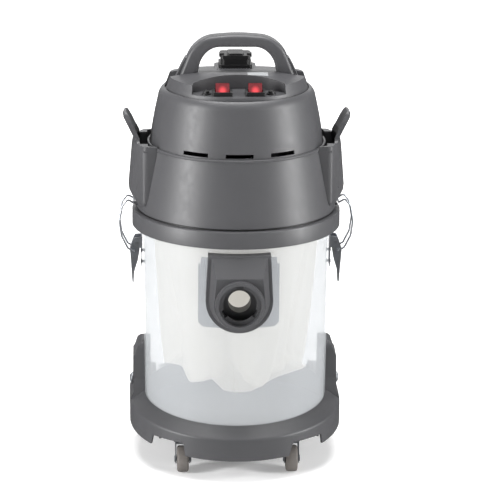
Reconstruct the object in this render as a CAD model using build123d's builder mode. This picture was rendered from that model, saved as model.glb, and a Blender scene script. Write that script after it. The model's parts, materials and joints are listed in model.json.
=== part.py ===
"""Two-motor wet and dry vacuum cleaner: a translucent tank on castors, under a lift-off motor head.

Millimetres. +Z is up, the front with the hose inlet faces -Y, and the origin is on the floor
under the tank's axis. Every sub-part is its own solid and is written to parts/ under its own name.
"""

import os
from math import cos, radians, sin, sqrt

from build123d import *

# ---- driving dimensions -------------------------------------------------------------------

# Tank and collar
TANK_FOOT_R = 171.0
TANK_TOP_R = 176.6
TANK_WALL = 3.0
TANK_FLOOR_Z = 88.0
TANK_FOOT_ROUND = 20.0
TANK_TOP_Z = 477.0
COLLAR_R = 195.0
COLLAR_BOTTOM_Z = 449.0
COLLAR_TOP_Z = 481.0
COLLAR_WALL = 3.5

# Trolley
TROLLEY_R = 200.0
SKIRT_WALL = 4.0
RIM_FRONT_Z = 84.5  # top edge of the outer rim at the very front
RIM_TILT = 5.9  # degrees that the rim rises towards the back
RIM_RISE = 16.0  # height gained from the rim to the tank
SKIRT_DEPTH = 42.0
DECK_Z = 80.0
TROLLEY_SIDE_Y = 100.0
REAR_HALF_WIDTH = 142.0
REAR_Y = 190.0
REAR_TOP_Z = 112.0
ARM_Y = 40.0
ARM_X = 194.0
ARM_TOP_Z = 213.0
ARM_SCREW_Z = 131.0

# Castors and rear wheels
CASTOR_X = 102.0
CASTOR_Y = -114.0
CASTOR_TRAIL = 16.0
CASTOR_WHEEL_R = 25.0
CASTOR_WHEEL_WIDTH = 22.0
FORK_PLATE = 2.0
STEM_R = 5.5
PAD_Z = 58.5  # underside of the castor pads
REAR_WHEEL_R = 60.0
REAR_WHEEL_X = 161.0
REAR_WHEEL_WIDTH = 26.0
REAR_AXLE_Y = 168.0
REAR_AXLE_R = 6.0

# Hose inlet
INLET_Z = 350.0
INLET_MOUTH_Y = -228.0
INLET_PLATE_R = 62.0
INLET_PLATE_TOP_Z = 437.0
INLET_RING_R = 45.5
INLET_MOUTH_R = 39.0
BAYONET_R = 31.0
BAYONET_NOTCH_R = 36.0
INLET_BORE_R = 21.0
INLET_TUBE_R = 26.0

# Clamps, given for the right-hand side
CLAMP_PIN = (187.0, 414.0)
BAIL_PIVOT = (192.0, 398.0)
BAIL_BAR = (191.8, 492.0)
BAIL_HALF_WIDTH = 18.5
WIRE_R = 1.75
LEVER_HALF_WIDTH = 12.0
BRACKET_X = 176.2
RIVET_HEIGHTS = (374.0, 396.0)

# Motor head
HEAD_FOOT_Z = 484.5
HEAD_FOOT_R = 186.5
LIP_Z = 604.0
LIP_R = 165.8
HEAD_WALL = 3.5
DOME_FOOT = (162.3, 606.7)
DOME_MIDDLE = (155.6, 652.0)
DOME_SHOULDER = (147.0, 694.0)
DOME_TOP_Z = 712.0
COVER_SEAT_R = 134.3
COVER_SEAT_Z = 703.0
VENT_HALF_WIDTH = 25.5
VENT_Z = (611.5, 619.0)
GRIP_CENTRE_X = 62.0
GRIP_R = 140.0
GRIP_HALF_DEPTH = 74.0
EAR_TIP_HALF = 30.0
GLAND_Z = 552.0

# Switch cover, on top of the head
COVER_R = 133.4
COVER_WALL_Z = 716.0
COVER_EDGE = (126.5, 734.5)
COVER_CROWN_Z = 746.0
COVER_SLOPE = ((-45.0, 745.4), (150.0, 719.4))  # the flat that falls away to the back, as (y, z)
LEG_NOTCH_X = 88.0
LEG_NOTCH_Z = 707.8
SWITCH_FLOOR_Z = 718.0
SWITCH_X = 30.0
SWITCH_Y = -101.0
BUTTON_X = 59.5
BUTTON_Y = -99.0
HANDLE_HALF_DEPTH = 18.0
SOCKET_Y = 88.0
SOCKET_Z = 730.0
SOCKET_PAD_Z = 716.0

# Inside the head
MOTOR_X = 76.0
MOTOR_Z = 520.0
MOTOR_BOWL_R = 71.0
MOTOR_TUBE_R = 46.0
SHAFT_R = 5.0
FILTER_BOTTOM_Z = 142.0

FIT = 0.05  # running clearance of a pin in its hole, on the radius
SIDES = {"left": -1, "right": 1}
STANDING = (Align.CENTER, Align.CENTER, Align.MIN)
HANGING = (Align.CENTER, Align.CENTER, Align.MAX)


# ---- shared helpers -----------------------------------------------------------------------


def turn(points, mode=Mode.ADD, centre_x=0.0):
    """Turn a closed outline of (radius, height) points about an upright axis."""
    with BuildSketch(Plane.XZ) as outline:
        with BuildLine():
            Polyline(*[(centre_x + r, z) for r, z in points], close=True)
        make_face()
    revolve(outline.sketch, axis=Axis((centre_x, 0, 0), (0, 0, 1)), mode=mode)


def turn_across(points, x, y, z, mode=Mode.ADD):
    """Turn a closed outline of (offset along X, radius) points about a level axis along X."""
    with BuildSketch(Plane(origin=(x, y, z), x_dir=(1, 0, 0), z_dir=(0, -1, 0))) as outline:
        with BuildLine():
            Polyline(*points, close=True)
        make_face()
    revolve(outline.sketch, axis=Axis((x, y, z), (1, 0, 0)), mode=mode)


def prism(plane, points, depth, both=False, mode=Mode.ADD):
    """Extrude a straight-sided outline from a plane."""
    with BuildSketch(plane) as outline:
        with BuildLine():
            Polyline(*points, close=True)
        make_face()
    extrude(outline.sketch, amount=depth, both=both, mode=mode)


def rod(start, end, radius, mode=Mode.ADD):
    """A round bar between two points."""
    along = Vector(*end) - Vector(*start)
    with BuildSketch(Plane(origin=start, z_dir=along)) as section:
        Circle(radius)
    extrude(section.sketch, amount=along.length, mode=mode)


def write(piece, name):
    """Label one finished piece and write its STEP file."""
    piece.part.label = name
    export_step(piece.part, f"parts/{name}.step")


def tank_radius(z):
    """Outer radius of the tank's wall at a height."""
    rise = (z - TANK_FLOOR_Z - TANK_FOOT_ROUND) / (TANK_TOP_Z - TANK_FLOOR_Z - TANK_FOOT_ROUND)
    return TANK_FOOT_R + (TANK_TOP_R - TANK_FOOT_R) * rise


def head_radius(z):
    """Outer radius of the lower head's wall at a height."""
    return HEAD_FOOT_R + (LIP_R - HEAD_FOOT_R) * (z - HEAD_FOOT_Z) / (LIP_Z - HEAD_FOOT_Z)


def tank_skin(inner, outer, low, high, mode):
    """A tapered wall that follows the tank, between two distances from its outside."""
    turn(
        [
            (tank_radius(low) + inner, low),
            (tank_radius(low) + outer, low),
            (tank_radius(high) + outer, high),
            (tank_radius(high) + inner, high),
        ],
        mode=mode,
    )


# ---- trolley ------------------------------------------------------------------------------


def make_trolley_base():
    """Moulded trolley: a dished deck with a tilted rim, a skirt, two arms and a rear axle carrier."""
    tilt = radians(RIM_TILT)
    rim_plane_z = RIM_FRONT_Z + TROLLEY_R * sin(tilt) / cos(tilt)
    tilted = Plane(origin=(0, 0, rim_plane_z), x_dir=(1, 0, 0), z_dir=(0, -sin(tilt), cos(tilt)))
    upright = Plane(origin=tilted.origin, x_dir=(1, 0, 0), z_dir=(0, -cos(tilt), -sin(tilt)))
    slope = RIM_RISE / (TROLLEY_R - TANK_FOOT_R)
    beyond = TROLLEY_R + 60
    inside = TROLLEY_R - SKIRT_WALL
    recess_r = TANK_FOOT_R + 1.2
    hub_r = recess_r + 4.3
    with BuildPart() as base:
        # rim and skirt, round at the front and straight at the sides
        with BuildSketch(Plane.XY.offset(30)):
            Circle(TROLLEY_R)
            with Locations((0, TROLLEY_SIDE_Y / 2)):
                Rectangle(2 * TROLLEY_R, TROLLEY_SIDE_Y)
        extrude(amount=110)
        with BuildSketch(Plane.XY.offset(30)):
            Circle(inside)
            with Locations((0, TROLLEY_SIDE_Y / 2)):
                Rectangle(2 * inside, TROLLEY_SIDE_Y - 2 * SKIRT_WALL)
        extrude(amount=DECK_Z - 30, mode=Mode.SUBTRACT)
        # the conical top of the rim and the cut under the skirt, both tilted
        with BuildSketch(upright) as crown:
            with BuildLine():
                Polyline(
                    (0, RIM_RISE),
                    (TANK_FOOT_R, RIM_RISE),
                    (beyond, -slope * (beyond - TROLLEY_R)),
                    (beyond, 120),
                    (0, 120),
                    close=True,
                )
            make_face()
        revolve(crown.sketch, axis=Axis(tilted.origin, tilted.z_dir), mode=Mode.SUBTRACT)
        rim = [edge for edge in base.edges().filter_by(GeomType.BSPLINE) if edge.center().Y < 0]
        rim += [edge for edge in base.edges().filter_by(GeomType.HYPERBOLA) if edge.center().Y < 60]
        fillet(rim, radius=6)
        with BuildSketch(tilted.offset(-SKIRT_DEPTH)):
            with Locations((0, -TROLLEY_R)):
                Rectangle(3 * TROLLEY_R, 2 * TROLLEY_R + 260)
        extrude(amount=-90, mode=Mode.SUBTRACT)
        cut_castor_bays()
        # ribs under the deck
        with BuildSketch(Plane.XY.offset(66)):
            with PolarLocations((hub_r + inside) / 2, 8, start_angle=-157.5, angular_range=157.5):
                Rectangle(inside - hub_r + 2, 3)
        extrude(amount=DECK_Z - 65)
        # rear axle carrier
        with BuildSketch(Plane.XY.offset(DECK_Z)):
            with Locations((0, REAR_Y / 2)):
                RectangleRounded(2 * REAR_HALF_WIDTH, REAR_Y, 14)
        extrude(amount=REAR_TOP_Z - DECK_Z)
        for side in SIDES.values():
            cheek = [(132, 90), (132, 66), (150, 46), (186, 46), (186, 90)]
            prism(Plane.YZ.offset(side * (REAR_HALF_WIDTH - 5)), cheek, 5, both=True)
        # wheel wells
        for side in SIDES.values():
            with Locations((side * 180, 179, 100)):
                Box(2 * (180 - REAR_HALF_WIDTH), 150, 140, mode=Mode.SUBTRACT)
        # castor pads
        for side in SIDES.values():
            with Locations((side * CASTOR_X, CASTOR_Y, PAD_Z)):
                Cylinder(16, DECK_Z - PAD_Z + 0.5, align=STANDING)
                Cylinder(7.9, 25, align=STANDING, mode=Mode.SUBTRACT)
        for side in SIDES.values():
            add(side_arm(side))
        # seat for the tank
        recess = [(0, TANK_FLOOR_Z), (recess_r, TANK_FLOOR_Z), (recess_r, 160), (0, 160)]
        turn(recess, mode=Mode.SUBTRACT)
        tank_skin(-30, 1.2, 150, 240, Mode.SUBTRACT)
        # axle holes
        axle = [(x, REAR_AXLE_Y, REAR_WHEEL_R) for x in (-160, 160)]
        rod(*axle, REAR_AXLE_R + FIT, mode=Mode.SUBTRACT)
        # arm screw holes, counterbored from inside for the tank's bosses
        for side in SIDES.values():
            start, middle, end = [(side * x, ARM_Y, ARM_SCREW_Z) for x in (150, 175, 210)]
            rod(start, end, 4.3, mode=Mode.SUBTRACT)
            rod(start, middle, 9.6, mode=Mode.SUBTRACT)
    return base


def side_arm(side):
    """One side arm: an upright lug that hugs the tank, tapering to a rounded top."""
    flank = [
        (160, 90),
        (199, 90),
        (198, 108),
        (ARM_X, 117),
        (ARM_X - 0.5, 184),
        (ARM_X - 3.5, 188),
        (ARM_X - 9, ARM_TOP_Z - 8),
        (ARM_X - 18, ARM_TOP_Z),
        (160, ARM_TOP_Z),
    ]
    with BuildPart() as arm:
        prism(Plane.XZ.offset(-ARM_Y), [(side * x, z) for x, z in flank], 60, both=True)
        with BuildSketch(Plane.YZ.offset(side * 150)):
            with BuildLine():
                FilletPolyline(
                    (ARM_Y - 34, 240),
                    (ARM_Y - 34, 140),
                    (ARM_Y - 56, 100),
                    (ARM_Y - 56, 80),
                    (ARM_Y + 56, 80),
                    (ARM_Y + 56, 100),
                    (ARM_Y + 34, 140),
                    (ARM_Y + 34, 240),
                    radius=6,
                    close=True,
                )
            make_face()
        extrude(amount=side * 60, mode=Mode.INTERSECT)
        fillet(arm.edges().filter_by(Axis.X).group_by(Axis.Z)[-1], radius=16)
    return arm.part


def cut_castor_bays():
    """Cut the two bays out of the skirt, in front of which the castors swivel."""
    bearing = radians(41.5)
    for side in SIDES.values():
        outward = (side * sin(bearing), -cos(bearing), 0)
        across = (cos(bearing), side * sin(bearing), 0)
        bay = Plane(origin=(0, 0, 0), x_dir=across, z_dir=outward).offset(TROLLEY_R - 45)
        lift = 1 if bay.y_dir.Z > 0 else -1
        outline = [(-50, lift * 30), (-37, lift * 70), (37, lift * 70), (44, lift * 30)]
        prism(bay, outline, 60, mode=Mode.SUBTRACT)


def make_castor_sockets():
    """Steel bushes in the castor pads."""
    with BuildPart() as sockets:
        for side in SIDES.values():
            with Locations((side * CASTOR_X, CASTOR_Y, PAD_Z)):
                Cylinder(7.85, 24.5, align=STANDING)
                Cylinder(STEM_R + FIT, 24.5, align=STANDING, mode=Mode.SUBTRACT)
    return sockets


def make_castor_fork(side):
    """Zinc-plated pressed fork with its stem, trailing towards the front as it stands."""
    x, y = side * CASTOR_X, CASTOR_Y
    plate_x = CASTOR_WHEEL_WIDTH / 2 + 1.2
    axle_y, axle_z = y - CASTOR_TRAIL, CASTOR_WHEEL_R
    with BuildPart() as fork:
        with BuildSketch(Plane.XY.offset(54.5)):
            with Locations((x, y)):
                Circle(17)
            with Locations((x, y - 6)):
                Rectangle(2 * (plate_x + FORK_PLATE), 24)
        extrude(amount=3)
        with Locations((x, y, 57)):
            Cylinder(STEM_R, 25, align=STANDING)
            Cylinder(9, 1.3, align=STANDING)
        for cheek in (-1, 1):
            start = x + cheek * plate_x
            with BuildSketch(Plane.YZ.offset(start)):
                with BuildLine():
                    Polyline(
                        (y + 6, 57.4),
                        (y - 18, 57.4),
                        (axle_y - 9, axle_z + 8),
                        (axle_y - 9, axle_z),
                        (axle_y + 9, axle_z),
                        (y + 3, 44),
                        (y + 6, 50),
                        close=True,
                    )
                make_face()
                with Locations((axle_y, axle_z)):
                    Circle(9)
            extrude(amount=cheek * FORK_PLATE)
        rod((x - 20, axle_y, axle_z), (x + 20, axle_y, axle_z), 4.05, mode=Mode.SUBTRACT)
    return fork


def make_castor_axle(side):
    """Rivet that holds a castor wheel."""
    x, y = side * CASTOR_X, CASTOR_Y - CASTOR_TRAIL
    head_x = CASTOR_WHEEL_WIDTH / 2 + 1.2 + FORK_PLATE
    with BuildPart() as axle:
        rod((x - head_x, y, CASTOR_WHEEL_R), (x + head_x, y, CASTOR_WHEEL_R), 4.0)
        for end in (-1, 1):
            inner, outer = x + end * head_x, x + end * (head_x + 1.6)
            rod((inner, y, CASTOR_WHEEL_R), (outer, y, CASTOR_WHEEL_R), 6.0)
    return axle


def make_castor_tyre(side):
    """Warm grey castor tyre with rounded shoulders."""
    half, r = CASTOR_WHEEL_WIDTH / 2, CASTOR_WHEEL_R
    with BuildPart() as tyre:
        turn_across(
            [
                (-half, 15),
                (-half, r - 4),
                (-half + 1.2, r - 1.2),
                (-half + 4, r),
                (half - 4, r),
                (half - 1.2, r - 1.2),
                (half, r - 4),
                (half, 15),
            ],
            side * CASTOR_X,
            CASTOR_Y - CASTOR_TRAIL,
            CASTOR_WHEEL_R,
        )
    return tyre


def make_castor_hub(side):
    """Black castor hub with a waisted web."""
    half = CASTOR_WHEEL_WIDTH / 2
    bore = 4.0 + FIT
    with BuildPart() as hub:
        turn_across(
            [
                (-half - 0.6, bore),
                (-half - 0.6, 8),
                (-4, 8),
                (-4, 11.5),
                (-half + 0.5, 12.5),
                (-half + 0.5, 14.98),
                (half - 0.5, 14.98),
                (half - 0.5, 12.5),
                (4, 11.5),
                (4, 8),
                (half + 0.6, 8),
                (half + 0.6, bore),
            ],
            side * CASTOR_X,
            CASTOR_Y - CASTOR_TRAIL,
            CASTOR_WHEEL_R,
        )
    return hub


def make_rear_axle():
    """Steel rod through both rear wheels."""
    with BuildPart() as axle:
        rod((-181, REAR_AXLE_Y, REAR_WHEEL_R), (181, REAR_AXLE_Y, REAR_WHEEL_R), REAR_AXLE_R)
    return axle


def make_axle_caps():
    """Push-on caps at the rear axle's ends."""
    with BuildPart() as caps:
        for side in SIDES.values():
            turn_across(
                [
                    (0, REAR_AXLE_R),
                    (0, 11),
                    (side * 4, 11),
                    (side * 8, 8),
                    (side * 9, 0),
                    (side * 6.1, 0),
                    (side * 6.1, REAR_AXLE_R),
                ],
                side * 174.9,
                REAR_AXLE_Y,
                REAR_WHEEL_R,
            )
    return caps


def make_rear_tyre(side):
    """Grey tyre of a rear wheel, with two tread grooves."""
    half, r = REAR_WHEEL_WIDTH / 2, REAR_WHEEL_R
    with BuildPart() as tyre:
        turn_across(
            [
                (-half, 44),
                (-half, r - 4),
                (-half + 3, r),
                (-5.5, r),
                (-4.5, r - 1.6),
                (-3.5, r),
                (3.5, r),
                (4.5, r - 1.6),
                (5.5, r),
                (half - 3, r),
                (half, r - 4),
                (half, 44),
            ],
            side * REAR_WHEEL_X,
            REAR_AXLE_Y,
            r,
        )
    return tyre


def make_rear_hub(side):
    """Rear wheel hub: a dished web between a rim and a long boss."""
    half = REAR_WHEEL_WIDTH / 2
    bore = REAR_AXLE_R + FIT
    with BuildPart() as hub:
        turn_across(
            [
                (-side * 16.4, bore),
                (-side * 16.4, 13),
                (-side * 3, 13),
                (-side * 3, 37),
                (-side * (half - 1), 39),
                (-side * (half - 1), 43.98),
                (side * (half - 1), 43.98),
                (side * (half - 1), 39),
                (side * 3, 37),
                (side * 3, 13),
                (side * 13.4, 13),
                (side * 13.4, bore),
            ],
            side * REAR_WHEEL_X,
            REAR_AXLE_Y,
            REAR_WHEEL_R,
        )
        inner, outer = side * (REAR_WHEEL_X - 8), side * (REAR_WHEEL_X + 8)
        for step in range(6):
            angle = radians(60 * step)
            y = REAR_AXLE_Y + 25 * cos(angle)
            z = REAR_WHEEL_R + 25 * sin(angle)
            rod((inner, y, z), (outer, y, z), 7.0, mode=Mode.SUBTRACT)
    return hub


# ---- tank ---------------------------------------------------------------------------------


def make_tank():
    """Open-topped translucent tank with drafted walls, an inlet hole and two screw bosses."""
    floor, wall, foot = TANK_FLOOR_Z + 0.05, TANK_WALL, TANK_FOOT_ROUND
    with BuildPart() as tank:
        with BuildSketch(Plane.XZ):
            with BuildLine():
                Line((0, floor), (TANK_FOOT_R - foot, floor))
                RadiusArc((TANK_FOOT_R - foot, floor), (TANK_FOOT_R, floor + foot), -foot)
                Line((TANK_FOOT_R, floor + foot), (TANK_TOP_R, TANK_TOP_Z))
                Line((TANK_TOP_R, TANK_TOP_Z), (TANK_TOP_R - wall, TANK_TOP_Z))
                Line((TANK_TOP_R - wall, TANK_TOP_Z), (TANK_FOOT_R - wall, floor + foot))
                RadiusArc(
                    (TANK_FOOT_R - wall, floor + foot),
                    (TANK_FOOT_R - foot, floor + wall),
                    foot - wall,
                )
                Line((TANK_FOOT_R - foot, floor + wall), (0, floor + wall))
                Line((0, floor + wall), (0, floor))
            make_face()
        revolve(axis=Axis.Z)
        rod((0, -150, INLET_Z), (0, -190, INLET_Z), INLET_TUBE_R + 0.6, mode=Mode.SUBTRACT)
        for side in SIDES.values():
            start, middle, end = [(side * x, ARM_Y, ARM_SCREW_Z) for x in (164, 165.3, 176)]
            rod(start, (side * 174, ARM_Y, ARM_SCREW_Z), 9.0)
            rod(middle, end, 4.05, mode=Mode.SUBTRACT)
        for x, z in inlet_screw_places():
            rod((x, -150, z), (x, -190, z), 2.6, mode=Mode.SUBTRACT)
        for side in SIDES.values():
            for z in RIVET_HEIGHTS:
                rod((side * 160, 0, z), (side * 180, 0, z), 2.45, mode=Mode.SUBTRACT)
    return tank


def inlet_screw_places():
    """Centres of the four screws that hold the inlet, as (x, z)."""
    return [(x, z) for x in (-44.0, 44.0) for z in (INLET_Z - 22, INLET_Z + 52)]


def make_tank_collar():
    """Grey ring that wraps the tank's top edge and carries the filter and the head."""
    outer, wall = COLLAR_R, COLLAR_WALL
    with BuildPart() as collar:
        turn(
            [
                (outer - wall, COLLAR_BOTTOM_Z),
                (outer - 0.8, COLLAR_BOTTOM_Z),
                (outer, COLLAR_BOTTOM_Z + 0.8),
                (outer, COLLAR_TOP_Z - 3),
                (outer - 0.9, COLLAR_TOP_Z - 0.9),
                (outer - 3, COLLAR_TOP_Z),
                (166.5, COLLAR_TOP_Z),
                (166.5, 462),
                (171.5, 462),
                (171.5, TANK_TOP_Z + 0.05),
                (outer - wall, TANK_TOP_Z + 0.05),
            ]
        )
    return collar


def make_tank_screws():
    """Dome-headed screws that hold the tank between the trolley's arms."""
    with BuildPart() as screws:
        for side in SIDES.values():
            turn_across(
                [
                    (0, 0),
                    (0, 4.0),
                    (side * 28.7, 4.0),
                    (side * 28.7, 10.5),
                    (side * 30.2, 10.5),
                    (side * 32.6, 8.4),
                    (side * 34.0, 4.6),
                    (side * 34.4, 0),
                ],
                side * 166.2,
                ARM_Y,
                ARM_SCREW_Z,
            )
    return screws


def make_screw_washers():
    """Black washers under the tank screws."""
    with BuildPart() as washers:
        for side in SIDES.values():
            section = [(0, 4.3), (0, 11.6), (side * 0.8, 11.6), (side * 0.8, 4.3)]
            turn_across(section, side * (ARM_X + 0.05), ARM_Y, ARM_SCREW_Z)
    return washers


# ---- hose inlet ---------------------------------------------------------------------------


def plate_sketch(half_width, top, centre_z):
    """Tombstone outline of the inlet plate: a round foot under slightly tapered sides."""
    with BuildSketch(Plane.XZ) as outline:
        with Locations((0, centre_z)):
            Circle(half_width)
        with BuildLine():
            Polyline(
                (-half_width, centre_z),
                (-half_width + 4.5, top),
                (half_width - 4.5, top),
                (half_width, centre_z),
                close=True,
            )
        make_face()
    return outline.sketch


def make_inlet_port():
    """Hose inlet: a tombstone plate that swells into a round mouth with a three-slot bayonet."""
    back_y, face_y = -150.0, -192.0
    with BuildPart() as port:
        extrude(plate_sketch(INLET_PLATE_R, INLET_PLATE_TOP_Z, INLET_Z + 1), amount=-face_y)
        # raised border, then the swelling towards the mouth
        inner = plate_sketch(INLET_PLATE_R - 6, INLET_PLATE_TOP_Z - 4, INLET_Z + 1)
        front = plate_sketch(INLET_RING_R + 1.5, INLET_Z + 49, INLET_Z)
        swelling = [inner.moved(Location((0, face_y + 0.5, 0))), front.moved(Location((0, -216, 0)))]
        loft([section.faces()[0] for section in swelling])
        rod((0, -200, INLET_Z), (0, INLET_MOUTH_Y, INLET_Z), INLET_RING_R)
        behind = [(0, 200), (tank_radius(200) + 2, 200), (tank_radius(500) + 2, 500), (0, 500)]
        turn(behind, mode=Mode.SUBTRACT)
        rod((0, -158, INLET_Z), (0, -190, INLET_Z), INLET_TUBE_R)
        # mouth, bayonet ring, chamber and bore
        rod((0, -216, INLET_Z), (0, INLET_MOUTH_Y - 1, INLET_Z), INLET_MOUTH_R, mode=Mode.SUBTRACT)
        rod((0, -209, INLET_Z), (0, -217, INLET_Z), BAYONET_R, mode=Mode.SUBTRACT)
        rod((0, -192, INLET_Z), (0, -209.5, INLET_Z), BAYONET_NOTCH_R, mode=Mode.SUBTRACT)
        rod((0, back_y, INLET_Z), (0, -195, INLET_Z), INLET_BORE_R, mode=Mode.SUBTRACT)
        for bearing in (90, 210, 330):
            cut_bayonet_notch(bearing)
        for x, z in inlet_screw_places():
            rod((x, -170, z), (x, -190, z), 2.05, mode=Mode.SUBTRACT)
    return port


def cut_bayonet_notch(bearing):
    """One slot in the bayonet ring, at a bearing from +X in the mouth's plane."""
    along = (cos(radians(bearing)), sin(radians(bearing)))
    across = (-along[1], along[0])
    corners = []
    near, far, half = BAYONET_R - 3, BAYONET_NOTCH_R, 7
    for reach, offset in ((near, half), (far, half), (far, -half), (near, -half)):
        x = along[0] * reach + across[0] * offset
        corners.append((x, INLET_Z + along[1] * reach + across[1] * offset))
    prism(Plane.XZ.offset(208), corners, 9, mode=Mode.SUBTRACT)


def make_inlet_gasket():
    """Rubber ring between the inlet plate and the tank."""
    with BuildPart() as gasket:
        rod((0, -160, INLET_Z), (0, -186, INLET_Z), 36)
        foot_r, top_r = tank_radius(280), tank_radius(420)
        behind = [(0, 280), (foot_r + 0.05, 280), (top_r + 0.05, 420), (0, 420)]
        before = [(foot_r + 1.95, 280), (230, 280), (230, 420), (top_r + 1.95, 420)]
        turn(behind, mode=Mode.SUBTRACT)
        turn(before, mode=Mode.SUBTRACT)
        rod((0, -150, INLET_Z), (0, -190, INLET_Z), INLET_TUBE_R + 0.6, mode=Mode.SUBTRACT)
    return gasket


def make_inlet_backing_plate():
    """Curved plate inside the tank that clamps the inlet, stepped at its top corners."""
    with BuildPart() as plate:
        prism(
            Plane.XZ,
            [
                (-75, 300),
                (-67, 292),
                (67, 292),
                (75, 300),
                (75, 412),
                (70, 412),
                (70, 425),
                (-70, 425),
                (-70, 412),
                (-75, 412),
            ],
            190,
        )
        add(plate_skin(), mode=Mode.INTERSECT)
        rod((0, -150, INLET_Z), (0, -190, INLET_Z), INLET_TUBE_R + 0.6, mode=Mode.SUBTRACT)
        for x, z in inlet_screw_places():
            rod((x, -150, z), (x, -190, z), 2.6, mode=Mode.SUBTRACT)
    return plate


def plate_skin():
    """The curved layer just inside the tank's wall that the backing plate is cut from."""
    with BuildPart() as skin:
        tank_skin(-TANK_WALL - 3.4, -TANK_WALL - 0.4, 280, 440, Mode.ADD)
    return skin.part


def make_inlet_screws():
    """Four pan-head screws, driven from inside the tank into the inlet plate."""
    with BuildPart() as screws:
        for x, z in inlet_screw_places():
            wall_y = -sqrt((tank_radius(z) - TANK_WALL - 3.4) ** 2 - x**2)
            rod((x, wall_y + 1.5, z), (x, wall_y - 18, z), 2.0)
            rod((x, wall_y + 4.3, z), (x, wall_y + 1.5, z), 4.2)
    return screws


# ---- clamps -------------------------------------------------------------------------------

def make_clamp_brackets():
    """Two pressed brackets on the tank's wall, each with two ears for a lever's pin."""
    with BuildPart() as brackets:
        for side in SIDES.values():
            add_bracket(side)
    return brackets


def add_bracket(side):
    """One bracket: a back plate and two rounded ears."""
    pin_x, pin_z = CLAMP_PIN
    ear = [
        (BRACKET_X + 1, pin_z - 11),
        (pin_x + 3, pin_z - 9),
        (pin_x + 6, pin_z - 4),
        (pin_x + 6, pin_z + 5),
        (pin_x + 2, pin_z + 10),
        (BRACKET_X + 1, pin_z + 11),
    ]
    with BuildSketch(Plane.YZ.offset(side * BRACKET_X)) as back:
        with Locations((0, 395.5)):
            RectangleRounded(29, 59, 3)
    extrude(back.sketch, amount=side * 1.8)
    for end in (-1, 1):
        prism(Plane.XZ.offset(-end * 12.5), [(side * x, z) for x, z in ear], -end * 2.0)
    rod((side * pin_x, -20, pin_z), (side * pin_x, 20, pin_z), 2.05, mode=Mode.SUBTRACT)
    for z in RIVET_HEIGHTS:
        rod((side * 170, 0, z), (side * 182, 0, z), 2.45, mode=Mode.SUBTRACT)


def make_bracket_rivets():
    """Rivets that hold the clamp brackets to the tank."""
    with BuildPart() as rivets:
        for side in SIDES.values():
            for z in RIVET_HEIGHTS:
                inside = tank_radius(z) - TANK_WALL - 0.1
                rod((side * inside, 0, z), (side * (BRACKET_X + 1.85), 0, z), 2.4)
                rod((side * (inside - 1.6), 0, z), (side * inside, 0, z), 4.2)
                rod((side * (BRACKET_X + 1.85), 0, z), (side * (BRACKET_X + 3.2), 0, z), 4.2)
    return rivets


def make_clamp_pins():
    """Pins on which the two clamp levers turn."""
    pin_x, pin_z = CLAMP_PIN
    with BuildPart() as pins:
        for side in SIDES.values():
            rod((side * pin_x, -15.6, pin_z), (side * pin_x, 15.6, pin_z), 2.0)
            for end in (-1, 1):
                rod((side * pin_x, end * 14.6, pin_z), (side * pin_x, end * 15.9, pin_z), 3.2)
    return pins


def make_clamp_lever(side):
    """Over-centre lever: a channel that narrows to a finger tongue."""
    pin_x, pin_z = CLAMP_PIN
    outline = [
        (pin_x - 6, pin_z - 4),
        (pin_x - 6, pin_z + 3),
        (pin_x - 2.5, pin_z + 6.5),
        (pin_x + 3, pin_z + 6.5),
        (pin_x + 7, pin_z + 2),
        (199.5, 399),
        (198.5, 386),
        (196.5, 358),
        (195.0, 334),
        (192.8, 334),
        (191.5, 356),
        (185.0, 378),
        (181.5, 398),
    ]
    pocket = [
        (176, 362),
        (193.2, 362),
        (196.0, 386),
        (197.0, 398),
        (191.5, 414),
        (188, 424),
        (176, 424),
    ]
    tongue = [
        (-LEVER_HALF_WIDTH, 425),
        (-LEVER_HALF_WIDTH, 384),
        (-8.5, 346),
        (-8.5, 338),
        (-5, 334),
        (5, 334),
        (8.5, 338),
        (8.5, 346),
        (LEVER_HALF_WIDTH, 384),
        (LEVER_HALF_WIDTH, 425),
    ]
    with BuildPart() as lever:
        prism(Plane.XZ, [(side * x, z) for x, z in outline], LEVER_HALF_WIDTH, both=True)
        channel = [(side * x, z) for x, z in pocket]
        prism(Plane.XZ, channel, LEVER_HALF_WIDTH - 2, both=True, mode=Mode.SUBTRACT)
        prism(Plane.YZ.offset(side * 165), tongue, side * 50, mode=Mode.INTERSECT)
        rod((side * pin_x, -20, pin_z), (side * pin_x, 20, pin_z), 2.05, mode=Mode.SUBTRACT)
        bail_x, bail_z = BAIL_PIVOT
        rod((side * bail_x, -20, bail_z), (side * bail_x, 20, bail_z), WIRE_R + FIT, mode=Mode.SUBTRACT)
    return lever


def make_clamp_bail(side):
    """Bowed wire bail: two legs that hook into the lever and one bar over the head's lug."""
    bulge = [(203.5, 405), (215, 428), (219.2, 457), (214, 486), (203.5, 499)]
    (low_x, low_z), (bar_x, bar_z) = BAIL_PIVOT, BAIL_BAR
    w = BAIL_HALF_WIDTH
    route = [(low_x, -9.5, low_z), (low_x, -w, low_z)]
    route += [(x, -w, z) for x, z in bulge]
    route += [(bar_x, -w, bar_z), (bar_x, w, bar_z)]
    route += [(x, w, z) for x, z in reversed(bulge)]
    route += [(low_x, w, low_z), (low_x, 9.5, low_z)]
    radii = [3.2, 5, 16, 30, 14, 4.5, 3.4]
    route = [(side * x, y, z) for x, y, z in route]
    with BuildPart() as bail:
        with BuildLine() as path:
            FilletPolyline(*route, radius=radii + radii[::-1])
        with BuildSketch(Plane(origin=path.line @ 0, z_dir=path.line % 0)):
            Circle(WIRE_R)
        sweep(path=path.line)
    return bail


# ---- filter -------------------------------------------------------------------------------


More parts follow.
